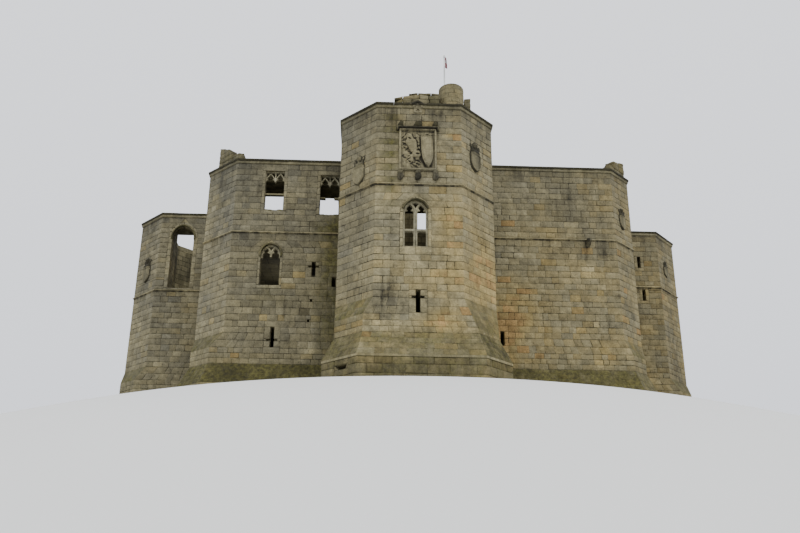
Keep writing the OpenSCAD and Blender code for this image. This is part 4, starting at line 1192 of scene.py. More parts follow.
def pole_finish():
    """Old white paint, greyer in streaks."""
    material, tree, shader, place = started("pole_paint")
    c = bpy.context.scene.keep_colours
    dirt = noise(tree, squeezed(tree, place, 6, 6, 0.8), 2.0, 5)
    tint = blend(tree, ranged(tree, dirt, 0.45, 0.7, 0, 0.45), four(c.pole), (0.25, 0.25, 0.23, 1))
    surfaced(tree, shader, tint, 0.42)
    return material


def flag_finish():
    """Woven cloth with a red field and a white band, by the mesh's own paint."""
    material, tree, shader, place = started("flag_cloth")
    c = bpy.context.scene.keep_colours
    band = ranged(tree, paint_layer(tree, "tone"), 0.49, 0.51)
    tint = blend(tree, band, four(c.red), four(c.white))
    weave = noise(tree, squeezed(tree, place, 1, 1, 2), 260.0, 2)
    thread = ranged(tree, weave, 0.3, 0.7, 0, 0.25)
    surfaced(tree, shader, blend(tree, thread, tint, (0.05, 0.03, 0.03, 1)), 0.8)
    shader.inputs["Sheen Weight"].default_value = 0.3
    bumped(tree, shader, weave, 0.4, 0.001)
    return material


def floor_finish():
    """Pale studio floor with the least unevenness."""
    material, tree, shader, place = started("studio_floor")
    c = bpy.context.scene.keep_colours
    patch = noise(tree, place, 0.08, 3)
    tint = blend(tree, ranged(tree, patch, 0.3, 0.7, 0, 0.06), four(c.floor), (0.5, 0.5, 0.5, 1))
    surfaced(tree, shader, tint, 0.9)
    return material


# Finishes that the mesh's own paint steers, with the depth of their pits
PAINTED = {"masonry": 0.014, "carved": 0.006}
# Finishes with courses by pattern, with their lightness; the dark one is soot and painted shade on the inner
# wall behind the front turret
COURSED = {"coursed": 0.42, "sooted_and_shaded": 0.1}


@functools.lru_cache(maxsize=None)
def finish(name):
    """The material of that name, made once."""
    if name in PAINTED:
        return painted_finish(name, PAINTED[name])
    if name in COURSED:
        return coursed_finish(name, COURSED[name])
    return {"dressed": dressed_finish, "flagstones": flagstone_finish, "pole_paint": pole_finish,
            "flag_cloth": flag_finish, "studio_floor": floor_finish}[name]()


# Operators

class KEEP_OT_core(bpy.types.Operator):
    """Give the solid walls, floors, tracery and spout of the frame their finishes"""
    bl_idname = "keep.core"
    bl_label = "Finish the frame's own stones"

    def execute(self, context):
        for name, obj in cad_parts.items():
            if name.endswith("_floor"):
                material = finish("flagstones")
            elif "window" in name or name == "spout":
                material = finish("dressed")
            else:
                # The inner wall behind the front turret is made dark: soot and painted shade
                material = finish("sooted_and_shaded" if name == "front_inner_wall" else "coursed")
            obj.data.materials.clear()
            obj.data.materials.append(material)
        return {"FINISHED"}


class KEEP_OT_stones(bpy.types.Operator):
    """Lay the stones of the outer walls"""
    bl_idname = "keep.stones"
    bl_label = "Lay the stones"

    def execute(self, context):
        stone_walls("front_wall_stones", [0, 1, 7, 8], "wall_masonry")
        stone_walls("front_turret_stones", range(2, 7), "turret_masonry")
        stone_walls("right_turret_stones", range(10, 15), "turret_masonry")
        stone_walls("right_wall_stones", [9, 15, 16], "wall_masonry")
        stone_walls("back_wall_stones", [17, 23, 24], "wall_masonry")
        stone_walls("back_turret_stones", range(18, 23), "turret_masonry")
        stone_walls("left_turret_stones", range(26, 31), "turret_masonry")
        stone_walls("left_wall_stones", [25, 31], "wall_masonry")
        return {"FINISHED"}


# Profiles out of the wall and up, where -1 is the wall's inner face, and the dark paint on their points:
# crust on the coping, painted shade and a little crust on the string course
COPING = np.array([(-1, 0.0), (0.02, 0.0), (0.045, 0.012), (0.06, 0.04), (0.06, 0.125), (0.072, 0.138),
                   (0.1, 0.146), (0.1, 0.212), (0.088, 0.228), (0.0, 0.233), (-0.4, 0.237), (-1, 0.232)])
COPING_SOOT = np.array([0.2, 0.3, 0.3, 0.1, 0.6, 1.6, 1.6, 1.6, 1.6, 1.0, 0.4, 0.3])
STRING = np.array([(-0.06, 0.127), (0.0, 0.125), (0.03, 0.12), (0.062, 0.098), (0.075, 0.075),
                   (0.073, 0.055), (0.055, 0.04), (0.03, 0.028), (0.014, 0.0), (-0.06, 0.0)])
# Under the string course the dark paint is painted shade; on its top it is a little crust
STRING_SHADE_AND_CRUST = np.array([0.1, 0.1, 0.05, 0.0, 0.05, 0.2, 0.55, 0.65, 0.65, 0.65])
# Distance of the panel and of its gable from the end wall's middle, to the left
PANEL_OFF = 0.05


def small_gable(pile):
    """The coping's small gable over the panel: two raking stones on a pale block with a trefoil notch,
    painted dark inside as its shade.
    """
    g = plan()
    s0, z0 = g.length[FRONT_END] / 2 - PANEL_OFF, g.top[FRONT_END] - g.p.coping_h
    profile = np.array([(-0.042, -0.02), (-0.042, 0.1), (-0.02, 0.125), (0.02, 0.125), (0.035, 0.11),
                        (0.042, -0.02)])
    rake = [(0.36, 0.185), (0.2, 0.19), (0, 0.3), (-0.2, 0.19), (-0.36, 0.185)]
    sweep(pile, FRONT_END, s0, z0, rake, profile, 0.004, tone=0.45, hue=0.3,
          soot=[1.4, 1.5, 1.2, 1.0, 1.0, 1.0])
    low = [(0.17, 0.01), (0.14, 0.06), (0, 0.15), (-0.14, 0.06), (-0.17, 0.01)]
    sweep(pile, FRONT_END, s0, z0, low, profile * [0.6, 0.8], 0.003, tone=0.5, hue=0.3,
          soot=[1.4, 1.2, 0.6, 0.4, 0.2, 0.2])
    gable = [(-0.2, 0.0), (0.2, 0.0), (0.2, 0.15), (0, 0.27), (-0.2, 0.15)]
    slab(pile, FRONT_END, s0, z0, gable, -0.02, 0.065, tone=0.5, hue=0.3, soot=0.25)
    x, z = np.meshgrid(np.linspace(-0.17, 0.17, 35), np.linspace(-0.2, 0.05, 26))
    leaves = [np.hypot(x - a, z - b) - 0.028 for a, b in ((-0.028, -0.1), (0.028, -0.1), (0, -0.06))]
    notch = np.clip(np.min(leaves, axis=0) / 0.01, 0, 1)
    # The notch's hollow is painted near black: painted shade
    relief(pile, FRONT_END, s0, z0, x, z, 0.006 + 0.035 * notch, -0.02, tone=0.5, hue=0.3,
           soot=1.5 * (1 - notch) + 0.15)


class KEEP_OT_courses(bpy.types.Operator):
    """Make the string course and the coping, moulded stone by stone"""
    bl_idname = "keep.courses"
    bl_label = "Make string course and coping"

    def execute(self, context):
        g = plan()
        string = Pile()
        for i in range(POINTS):
            rng = np.random.default_rng(STRING_SEED + i)
            run_moulding(string, i, STRING, g.string[i] - g.p.string_h, 0.85, rng,
                         {"tone": 0.6, "hue": 0.42, "soot": STRING_SHADE_AND_CRUST,
                          "moss": np.where(STRING[:, 1] > 0.09, 0.45, 0)})
        string.piece("string_course_stones", "masonry", "string_stone", ["string_course"], smooth=False)
        for side, walls in (("front", range(0, 9)), ("right", range(9, 16)), ("back", range(16, 25)),
                            ("left", range(25, 32))):
            coping = Pile()
            for i in walls:
                rng = np.random.default_rng(COPING_SEED + i)
                profile = COPING.copy()
                profile[profile[:, 0] == -1, 0] = -g.thick[i]
                run_moulding(coping, i, profile, g.top[i] - g.p.coping_h, 0.95, rng,
                             {"tone": 0.5, "hue": 0.3, "soot": COPING_SOOT, "moss": 0.2})
            if side == "front":
                small_gable(coping)
            coping.piece(f"{side}_coping_stones", "masonry", "coping_stone", [f"coping_{side}"],
                         smooth=False)
        return {"FINISHED"}


# Distances of the tracery from the wall's face: its back and its front
TRACERY = (-0.3, -0.12)
# Paint of the tracery's pale stone
PALE = {"tone": 0.88, "hue": 0.12, "soot": 0.04, "moss": 0.1}
# Height of the transom over the sill
TRANSOM = 0.735


def pale_bar(pile, o, path, profile):
    """A bar of the opening's tracery, little worn."""
    sweep(pile, o.i, o.s, o.z, path, profile, 0.003, **PALE)


def pale_cusp(pile, o, low, tip, high, behind, before):
    """A cusp of the opening's tracery, set in from the bars' back and front."""
    cusp(pile, o.i, o.s, o.z, low, tip, high, TRACERY[0] + behind, TRACERY[1] - before, **PALE)


def pointed_tracery(pile, o, whole):
    """Two lights under a pointed arch: bars along it, arms that cross from the mullion, cusps and a sill."""
    back, front = TRACERY
    a = o.w / 2
    c = (o.rise ** 2 - a * a) / o.w
    round_r = a + c
    thin, thick = section(0.085, back, front, 0.02), section(0.16, back + 0.01, front - 0.01, 0.03)
    edge = pointed_path(o.w, o.h, o.rise, -0.028, 0.0 if whole else o.h * 0.9)
    pale_bar(pile, o, edge, thin)
    reach = math.acos((round_r - a / 2) / round_r)
    t = np.linspace(0, reach, 10)
    arm = np.stack([round_r - round_r * np.cos(t), o.h + round_r * np.sin(t)], 1)
    foot = 0.02 if whole else o.h - 0.1
    for side in (-1, 1):
        pale_bar(pile, o, np.vstack([[(0, foot)], arm]) * [side, 1], thin)
        high = round_r * math.sin(reach)

        def outer(share):
            z = share * high
            return (side * (math.sqrt(round_r ** 2 - z * z) - c - 0.03), o.h + z)

        def inner(share):
            z = share * high
            return (side * (round_r - math.sqrt(round_r ** 2 - z * z) + 0.02), o.h + z)

        for near, way in ((outer, 1), (inner, -1)):
            tip = (side * (a / 2 + way * 0.055), o.h + 0.3 * high)
            pale_cusp(pile, o, near(0.02), tip, near(0.66), 0.05, 0.03)
    if whole:
        pale_bar(pile, o, [(0, 0), (0, o.h + 0.05)], thick)
        pale_bar(pile, o, [(-a, TRANSOM), (a, TRANSOM)], section(0.095, back, front - 0.005, 0.02))
        for side in (-1, 1):
            x = side * (a / 2 + 0.008)
            for way in (-1, 1):
                high = TRANSOM - 0.03
                pale_cusp(pile, o, (x + way * a * 0.42, high - 0.13), (x + way * a * 0.3, high - 0.03),
                          (x + way * a * 0.2, high), 0.06, 0.04)
        pale_bar(pile, o, [(-a, 0.025), (a, 0.025)], section(0.05, back, front + 0.05, 0.015))


def square_tracery(pile, o, bar, rng):
    """Head of a square window: two pointed lights in thin bars, the mullion's stub, the bar's remains."""
    back, front = TRACERY
    a, top = o.w / 2, o.h
    thin, rim = section(0.042, back, front, 0.014), section(0.03, back, front, 0.01)
    for side in (-1, 1):
        x = side * a * 0.52
        for way in (-1, 1):
            line = curve([(x + way * 0.195, top - 0.45), (x + way * 0.195, top - 0.3),
                          (x + way * 0.1, top - 0.22), (x, top - 0.07)], 10)
            pale_bar(pile, o, line, thin)
            pale_cusp(pile, o, (x + way * 0.195, top - 0.45), (x + way * 0.09, top - 0.37),
                      (x + way * 0.165, top - 0.28), 0.05, 0.03)
        pale_bar(pile, o, [(side * (a - 0.01), top - 0.46), (side * (a - 0.01), top)], rim)
    pale_bar(pile, o, [(-a, top - 0.012), (a, top - 0.012)], rim)
    pale_bar(pile, o, [(0, top), (0, top - 0.3)], section(0.045, back, front, 0.014))
    stub = [(-0.035, top - 0.28), (-0.05, top - 0.42), (-0.012, top - 0.52), (0.03, top - 0.47),
            (0.045, top - 0.36), (0.03, top - 0.28)]
    slab(pile, o.i, o.s, o.z, stub, back, front, **PALE)
    # The bar's remains: crust, with painted shade at its back and along its lower front edge
    worn = {"tone": 0.5, "hue": 0.3, "soot": [0.9, 0.9, 0.2, 0.1, 0.1, 0.9], "moss": 0.2}
    beam = section(0.085, back, front, 0.02)
    z = bar * top
    for x0, x1 in ((-a, a),) if bar < 0.44 else ((-a, -a + 0.25), (a, a - 0.2)):
        line = np.array([(x0, z), (x0 * 0.6 + x1 * 0.4, z - 0.004), (x1 * 0.9 + x0 * 0.1, z),
                         (x1, z + 0.012)])
        sweep(pile, o.i, o.s, o.z, line, beam if bar < 0.44 else beam * [0.9, 1], 0.008, **worn)
    cuts = np.linspace(-a, a, 5) + np.append(np.insert(rng.uniform(-0.05, 0.05, 3), 0, 0), 0)
    heights = rng.uniform(0.02, 0.075, 4)
    cells = np.array([[[[on_face(o.i, o.s + x, o.z + z, d) for z in (-0.05, high)] for d in (-0.75, -0.02)]
                       for x in (x0, x1)] for x0, x1, high in zip(cuts, cuts[1:], heights)])
    blocks(pile, cells, 0.012, o.s, tone=rng.normal(0.42, 0.05, 4), hue=np.full(4, 0.3),
           moss=rng.uniform(0.4, 0.8, 4), soot=np.full(4, 0.2))


# Distance of the hood moulds' middle line from the opening, and how far they stand out
HOOD_GAP, HOOD_OUT = 0.035, 0.1


def hood_mould(pile, o, foot):
    """A drip mould round a pointed head down to foot: rounded above, hollowed below and painted dark there
    as its shade.
    """
    profile = np.array([(-0.055, -0.03), (-0.052, 0.02), (-0.025, HOOD_OUT * 0.8), (0.01, HOOD_OUT),
                        (0.04, HOOD_OUT * 0.92), (0.038, HOOD_OUT * 0.55), (0.05, 0.025), (0.055, -0.03)])
    line = pointed_path(o.w, o.h, o.rise, HOOD_GAP, min(foot, o.h), 13)
    line = line[line[:, 1] >= foot]
    sweep(pile, o.i, o.s, o.z, line, profile, 0.005, tone=0.45, hue=0.3,
          soot=[0.5, 0.5, 0.5, 0.6, 0.8, 0.9, 1, 1], moss=[0.6, 0.6, 0.6, 0.5, 0.4, 0.4, 0.4, 0.4])


class KEEP_OT_tracery(bpy.types.Operator):
    """Make the windows' bars, cusps, hoods and worn sills"""
    bl_idname = "keep.tracery"
    bl_label = "Make the tracery"

    def execute(self, context):
        pointed = {o.i: o for o in openings() if o.kind == "pointed"}
        square = [o for o in openings() if o.kind == "square" and o.w > 0.5]
        for name, i, node_name in (("front_tracery", FRONT_END, "front_window"),
                                   ("hall_tracery", 1, "pointed_window"),
                                   ("back_tracery", BACK_END, "back_window")):
            pile = Pile()
            pointed_tracery(pile, pointed[i], i != 1)
            pile.piece(name, "carved", "tracery_stone", [node_name], smooth=False)
        for name, walls, node_names in (("upper_tracery", (1,), ["upper_windows"]),
                                        ("back_hall_tracery", (17, 23), ["back_hall_windows"])):
            pile = Pile()
            rng = np.random.default_rng(SILL_SEED)
            for number, o in enumerate(o for o in square if o.i in walls):
                square_tracery(pile, o, (0.435, 0.45)[number % 2], rng)
            if 23 in walls:
                pointed_tracery(pile, pointed[23], False)
            pile.piece(name, "carved", "tracery_stone", node_names, smooth=False)
        hoods = Pile()
        for o in openings():
            if o.kind == "pointed":
                hood_mould(hoods, o, o.h + (0.1 if o.i in (FRONT_END, BACK_END) else -0.12))
        hoods.piece("hood_moulds", "carved", "tracery_stone", smooth=False)
        return {"FINISHED"}


# A beast on its hind legs, as bones: from x, z to x, z with both radii, metres on the panel
BEAST = ((-0.2, 1.12, -0.06, 0.74, 0.165, 0.105), (-0.06, 0.74, 0.02, 0.6, 0.12, 0.13),
         (-0.2, 1.14, -0.25, 1.34, 0.14, 0.1), (-0.28, 1.4, -0.3, 1.38, 0.1, 0.09),
         (-0.33, 1.36, -0.43, 1.33, 0.055, 0.035), (-0.33, 1.31, -0.41, 1.25, 0.035, 0.025),
         (-0.22, 1.46, -0.19, 1.52, 0.03, 0.02), (-0.26, 1.16, -0.4, 1.08, 0.06, 0.045),
         (-0.4, 1.08, -0.5, 1.17, 0.042, 0.045), (-0.24, 1.02, -0.4, 0.9, 0.055, 0.042),
         (-0.4, 0.9, -0.53, 0.95, 0.04, 0.045), (0.0, 0.62, -0.17, 0.54, 0.1, 0.06),
         (-0.17, 0.54, -0.16, 0.36, 0.05, 0.038), (-0.16, 0.36, -0.3, 0.33, 0.04, 0.045),
         (0.04, 0.58, 0.03, 0.38, 0.09, 0.05), (0.03, 0.38, -0.02, 0.2, 0.045, 0.036),
         (-0.02, 0.2, -0.16, 0.17, 0.04, 0.045), (0.1, 0.62, 0.16, 0.8, 0.035, 0.03),
         (0.16, 0.8, 0.06, 0.96, 0.03, 0.03), (0.06, 0.96, 0.1, 1.14, 0.03, 0.028),
         (0.1, 1.14, 0.05, 1.28, 0.04, 0.05))
# Tufts of the mane and the legs: first and last place of each row, number and length
TUFTS = ((0.0, 1.46, 0.02, 1.0, 6, 0.1), (-0.42, 1.22, -0.2, 0.78, 6, -0.11),
         (-0.24, 0.62, -0.2, 0.3, 4, -0.1), (0.06, 0.5, 0.08, 0.26, 3, 0.08),
         (0.16, 1.3, 0.02, 1.42, 3, 0.07))


# Deep hollows beside the tufts, cut in and painted dark as their shade: first and last place of each row,
# and number
DRILLED = ((-0.62, 1.47, -0.54, 1.2, 3), (-0.62, 1.1, -0.27, 0.77, 5), (-0.6, 0.66, -0.24, 0.33, 5),
           (0.0, 0.44, -0.03, 0.16, 3), (-0.2, 0.26, -0.2, 0.12, 2), (-0.32, 1.4, -0.12, 1.44, 2),
           (0.34, 1.6, 0.54, 1.56, 3), (0.02, 1.1, 0.0, 0.72, 3))


def drilled(x, z):
    """Share of a deep hollow, 0 to 1: slanting oval pits exp(-(along / 0.075)^2 - (across / 0.034)^2)."""
    a, b = np.concatenate([np.linspace(row[:2], row[2:4], row[4]) for row in DRILLED]).T[:, :, None, None]
    slant = 0.6 * np.sign(np.sin(40 * a))
    along, across = (x - a) + slant * (z - b), (z - b) - slant * (x - a)
    return np.exp(-(along / 0.075) ** 2 - (across / 0.034) ** 2).max(0)


def beast_height(x, z):
    """Height of the beast: its bones, tufts that taper to one side, claws, and an eye sunk in."""
    rows = list(BEAST)
    for x0, z0, x1, z1, count, reach in TUFTS:
        for t in np.linspace(0, 1, count):
            a, b = x0 + t * (x1 - x0), z0 + t * (z1 - z0)
            rows.append((a, b, a + reach, b - 0.05, 0.03, 0.014))
    for a, b in ((-0.5, 1.18), (-0.53, 0.96), (-0.3, 0.33), (-0.16, 0.17)):
        rows += [(a, b, a - 0.055, b + lift, 0.016, 0.008) for lift in (0.035, 0.0, -0.035)]
    high = bones(x, z, [(*row[:4], row[4] * 1.25, row[5] * 1.2) for row in rows], 0.75)
    return high - 0.02 * np.exp(-((x + 0.31) ** 2 + (z - 1.41) ** 2) / 0.014 ** 2)


def shield_half(w, h, z):
    """Half width of a shield at height z over its point: two arcs up to the middle, straight above."""
    drop = np.clip(h / 2 - z, 0, None) ** 2 * (0.75 * w * w / (h / 2) ** 2)
    low = np.sqrt(np.maximum(w * w - drop, 0)) - w / 2
    return np.where((z < 0) | (z > h), -0.05, low)


def shield_height(x, z, w, h, high):
    """Height of a plain shield: a raised rim and a field that swells to the middle."""
    inside = shield_half(w, h, z) - np.abs(x)
    inside = np.minimum(np.minimum(inside, h - z), inside + 0.02)
    rim = 0.022 * np.exp(-((inside - 0.028) / 0.014) ** 2)
    swell = high * (1 - np.clip(np.abs(x) / (w / 2), 0, 1) ** 2) * 0.5
    return np.clip(inside / 0.012, 0, 1) * (high + swell + rim)


class KEEP_OT_panel_carving(bpy.types.Operator):
    """Carve the panel: frame, beast and plain shield, hood, and its leafy bosses"""
    bl_idname = "keep.panel_carving"
    bl_label = "Carve the panel"

    def execute(self, context):
        p = plan().p
        pile = Pile()
        s0, z0 = plan().length[FRONT_END] / 2 - PANEL_OFF, p.string_z + 0.52
        high = p.block_h - p.coping_h - 0.84 - 0.11 - z0
        wide = 1.52
        x, z = np.meshgrid(np.linspace(-wide / 2, wide / 2, 175), np.linspace(0, high, 215))
        field = beast_height((x + 0.05) / 1.12, (z - 0.08) / 1.04)
        long_shield = shield_height((x - 0.37) + 0.05 * (z - 0.9), z - 0.12, 0.48, 1.4, 0.1)
        strap = bones(x, z, [(0.16, 1.46, 0.3, 1.58, 0.04, 0.035), (0.3, 1.58, 0.48, 1.46, 0.035, 0.04)],
                      1.2)
        carved = 0.03 + np.maximum(np.maximum(field, long_shield), strap)
        edge = np.minimum(np.minimum(x + wide / 2, wide / 2 - x), np.minimum(z, high - z))
        frame_line = 0.11 * np.sqrt(np.clip(1 - ((edge - 0.055) / 0.05) ** 2, 0, 1)) + 0.025
        pits = drilled(x, z) * (edge > 0.12)
        depth = np.where(edge < 0.11, frame_line, np.maximum(carved - 0.07 * pits, 0.018))
        points = on_face(FRONT_END, x, z, 0 * x)
        depth = depth + wobble(points, 0.004)[..., 0] + wobble(points * 2.3, 0.003, 2.0)[..., 1]
        # Painted shade: the carving's hollows and the drilled pits are painted dark; the top strip under the
        # hood is darker too
        dark = np.maximum(hollows(depth, 12), hollows(depth, 60))
        shade_and_crust = 1.5 * dark ** 0.7 * np.where(edge < 0.17, 0.2, 0.9) + 1.6 * pits ** 2
        relief(pile, FRONT_END, s0, z0, x, z, depth, -0.02, tone=0.5 + 0.1 * (edge < 0.11), hue=0.3,
               soot=shade_and_crust + 0.4 * (z > high - 0.16) + 0.12, moss=0.1 * (z < 0.3))
        hood = np.array([(-0.06, -0.02), (-0.055, 0.05), (-0.02, 0.15), (0.02, 0.19), (0.04, 0.185),
                         (0.045, 0.13), (0.055, 0.1), (0.055, -0.02)])
        half = wide / 2 + 0.055
        line = [(half, high - 0.1), (half, high + 0.05), (half / 2, high + 0.052), (-half / 2, high + 0.048),
                (-half, high + 0.05), (-half, high - 0.1)]
        # The hood's underside is painted dark as its shade
        sweep(pile, FRONT_END, s0, z0, line, hood, 0.008, tone=0.42, hue=0.25,
              soot=[0.8, 0.7, 0.7, 0.9, 1.3, 1.5, 1.5, 1.5], moss=[0.5, 0.5, 0.3, 0.1, 0, 0, 0, 0])
        cells, moss, soot = [], [], []
        for k, x0 in enumerate((-0.695, 0.0, 0.695)):
            wide_boss = 0.19 if k == 1 else 0.12
            cells.append(self.cell(s0 + x0, z0 + high + 0.05, wide_boss, wide_boss * 0.85, 0.27, 0.19))
            cells.append(self.cell(s0 + x0, z0 - 0.14, 0.09, 0.12, 0.15, 0.14))
            cells.append(self.cell(s0 + x0, z0 - 0.42, 0.1, 0.14, 0.31, 0.17))
            moss += [0.3, 0.1, 0.05]
            soot += [1.3, 0.4, 0.75]
        blocks(pile, cells, 0.035, 3.0, 10, 0.75, tone=np.full(9, 0.42), hue=np.full(9, 0.28), moss=moss,
               soot=soot)
        pile.piece("panel_carving", "carved", "carved_stone", ["carved_panel"])
        return {"FINISHED"}

    def cell(self, s, z, low, top, high, out):
        """Corners of a boss that is 2 low wide below and 2 top above."""
        return [[[on_face(FRONT_END, s + side * half, z + up, d) for half, up in ((low, 0), (top, high))]
                 for d in (-0.04, out)] for side in (-1, 1)]


# Held shields: wall, shares of its length and upper height, size, strength of the dark paint (painted shade
# and crust) and least of the dark crust
SHIELDS = ((3, 0.54, 0.05, 1, 0.45, 0.14), (5, 0.42, 0.246, 1, 1, 0.5), (8, 0.47, 0.2, 0.82, 1.1, 0.35),
           (11, 0.4, 0.24, 0.7, 1, 0.3), (29, 0.51, 0.138, 1.05, 1, 0.35))
# The half figure that holds a shield, as bones
FIGURE = ((-0.15, 0.84, 0.15, 0.84, 0.12, 0.12), (-0.19, 0.84, -0.28, 0.66, 0.06, 0.045),
          (0.19, 0.84, 0.28, 0.66, 0.06, 0.045), (-0.28, 0.66, -0.22, 0.6, 0.045, 0.04),
          (0.28, 0.66, 0.22, 0.6, 0.045, 0.04), (0, 0.95, 0, 1.02, 0.06, 0.06))
WINGS = ((-0.14, 0.9, -0.27, 1.12, 0.07, 0.04), (0.14, 0.9, 0.27, 1.12, 0.07, 0.04))
HEAD = ((0, 1.12, 0, 1.16, 0.098, 0.112), (-0.07, 1.1, -0.085, 1.17, 0.045, 0.05),
        (0.07, 1.1, 0.085, 1.17, 0.045, 0.05))


class KEEP_OT_shields(bpy.types.Operator):
    """Carve the plain shields with the small half figures that hold them"""
    bl_idname = "keep.shields"
    bl_label = "Carve the held shields"

    def execute(self, context):
        g = plan()
        pile = Pile()
        x, z = np.meshgrid(np.linspace(-0.36, 0.36, 73), np.linspace(-0.03, 1.32, 136))
        carved = np.max([shield_height(x, z, 0.62, 0.78, 0.05), bones(x, z, FIGURE, 0.9),
                         bones(x, z, WINGS, 0.6), bones(x, z, HEAD, 0.95)], 0)
        nose = lump(x, z, 0, 1.15, 0, 1.115, 0.012, 0.018, 0.8)
        nose = nose + lump(x, z, -0.045, 1.165, 0.045, 1.165, 0.014, 0.014, 0.5)
        eyes = lump(x, z, -0.037, 1.145, -0.035, 1.145, 0.018, 0.018, 0.6)
        eyes = eyes + lump(x, z, 0.035, 1.145, 0.037, 1.145, 0.018, 0.018, 0.6)
        mouth = lump(x, z, -0.022, 1.082, 0.022, 1.082, 0.009, 0.009, 0.7)
        carved = carved + nose - eyes - mouth
        solid = carved > 0.004
        margin = (softened(solid * 1.0, 14) > 0.04) & ~solid
        for i, along, up, size, strength, shade_and_crust in SHIELDS:
            z0 = g.string[i] + up * (g.top[i] - g.string[i])
            depth = np.where(solid, carved * 0.95 * size + 0.03, np.where(margin, 0.028, -0.03))
            points = on_face(i, x, z, 0 * x)
            depth = depth + solid * (wobble(points * 1.5, 0.004)[..., 0])
            # Painted shade in the hollows and on the margin round the figure, with crust; the figure's body
            # and head darker
            dark = 1.3 * hollows(depth, 14) + 1.0 * (z > 0.8) * (z < 1.06) + 0.5 * (z > 1.0) + 1.4 * ~solid
            relief(pile, i, along * g.length[i], z0, x * size, z * size, depth, -0.05, tone=0.52, hue=0.3,
                   soot=strength * dark + shade_and_crust, moss=0.1)
        pile.piece("shield_carvings", "carved", "carved_stone", ["shields"])
        return {"FINISHED"}


# Broken parapet: wall, start (below 0 from the right end), end, set-back, thickness, heights along it
STUMPS = ((FRONT_END, 0.7, 2.56, 0, 0.475,
           ((0.7, 0.04), (0.86, 0.15), (1.07, 0.38), (1.2, 0.4), (1.38, 0.37), (1.69, 0.54),
            (1.9, 0.42), (2.17, 0.4), (2.2, 0.53), (2.56, 0.53))),
          (FRONT_END, 3.62, 3.89, 0.55, 0.315, ((3.62, 0.66), (3.89, 0.68))),
          (0, 0.56, 1.31, 0, 0.475, ((0.56, 1.08), (1.31, 0.8))),
          (0, 1.32, 1.63, 0, 0.475, ((1.32, 0.63), (1.63, 0.5))),
          (0, 1.64, None, 0, 0.475, ((1.64, 0.33), (3, 0.33))),
          (1, 0, 0.25, 0, 0.475, ((0, 0.33), (0.25, 0.3))),
          (8, 0.46, 1.45, 0, 0.475, ((0.46, 0.6), (1.45, 0.83))),
          (7, -0.15, None, 0, 0.475, ((0, 0.28), (9, 0.28))),
          (8, 0, 0.45, 0, 0.475, ((0, 0.28), (0.45, 0.28))))


class KEEP_OT_parapet(bpy.types.Operator):
    """Pile the weathered stones that are left of the parapet"""
    bl_idname = "keep.parapet"
    bl_label = "Pile the parapet's stones"

    def execute(self, context):
        g = plan()
        front, corners = Pile(), Pile()
        for number, (i, s0, s1, back, thick, tops) in enumerate(STUMPS):
            rng = np.random.default_rng(STUMP_SEED + number)
            start = g.length[i] + s0 if s0 < 0 else s0
            end = g.length[i] if s1 is None else s1
            broken_wall(front if i == FRONT_END else corners, i, start, end, tops, back, thick, rng)
        front.piece("front_parapet_stones", "carved", "parapet_stone", ["parapet_front"])
        corners.piece("corner_parapet_stones", "carved", "parapet_stone", ["parapet_corners"])
        return {"FINISHED"}


class KEEP_OT_stack(bpy.types.Operator):
    """Turn the round stack from curved stones with a rounded rim"""
    bl_idname = "keep.stack"
    bl_label = "Make the round stack"

    def execute(self, context):
        low, high = (np.array(v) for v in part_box("round_stack"))
        middle, radius, tall = (low + high)[:2] / 2, (high - low)[0] / 2, high[2] - low[2]
        soft, rows, most = 0.11, 5, 10
        bend = np.linspace(0, TAU / 4, 14)[1:]
        up = np.concatenate([np.linspace(0, tall - soft - 0.02, 56),
                             tall - soft - 0.02 + soft * np.sin(bend),
                             np.linspace(tall - 0.018, tall - 0.002, 10)])
        out = np.concatenate([np.full(56, radius), radius - soft + soft * np.cos(bend),
                              np.linspace(radius - soft - 0.02, 0.012, 10)])
        t = np.linspace(0, TAU, 241)[:-1]
        row = np.minimum(up / (tall - 0.1) * rows, rows - 0.001)
        number = row.astype(int)
        rng = np.random.default_rng(STACK_SEED)
        count, phase = rng.integers(7, most, rows), rng.uniform(0, 1, rows)
        share = t[None] / TAU * count[number][:, None] + phase[number][:, None]
        stone = np.floor(share).astype(int) % most
        side = (0.5 - np.abs(share % 1 - 0.5)) / count[number][:, None] * TAU * radius
        bed = (0.5 - np.abs(row % 1 - 0.5)) * (tall - 0.1) / rows
        gap = np.minimum(side, bed[:, None] + (out < radius - soft)[:, None])
        joint = np.exp(-(gap / 0.013) ** 2)
        bulge = rng.uniform(-0.012, 0.0, (rows, most))[number[:, None], stone]
        r = out[:, None] - 0.016 * joint + bulge * np.clip(gap / 0.03, 0, 1)
        rings = np.stack([middle[0] + r * np.cos(t), middle[1] + r * np.sin(t),
                          np.broadcast_to(low[2] + up[:, None], r.shape)], -1)
        rings = rings + wobble(rings, 0.005) * [1, 1, 0.3]
        rings[..., 2] = np.minimum(rings[..., 2], high[2])
        pile = Pile()
        tone = 0.42 + rng.normal(0, 0.06, (rows, most))[number[:, None], stone]
        pile.add(rings, loft(rings), tone=tone, hue=0.45 + 0.4 * (tone - 0.42), joint=0.8 * joint,
                 soot=0.25 * np.clip(up / tall - 0.85, 0, 1)[:, None] * 5 + 0.05,
                 moss=0.15 + 4 * np.clip(up / tall - 0.86, 0, 0.15)[:, None])
        pile.piece("stack_stones", "carved", "parapet_stone", ["round_stack"])
        return {"FINISHED"}


# Profile of the pole: height and radius; then heights of its top and its ball's middle, ball's radius
POLE = ((0.0, 0.075), (0.02, 0.075), (0.024, 0.07), (0.22, 0.068), (0.245, 0.062), (0.26, 0.045),
        (0.262, 0.036), (1.2, 0.034), (1.205, 0.038), (1.24, 0.038), (1.245, 0.033), (2.6, 0.029),
        (2.605, 0.034), (2.63, 0.034), (2.635, 0.028), (3.06, 0.026), (3.07, 0.046), (3.085, 0.048),
        (3.1, 0.044), (3.112, 0.02))
POLE_TOP, BALL_Z, BALL_R = 3.179, 3.147, 0.032


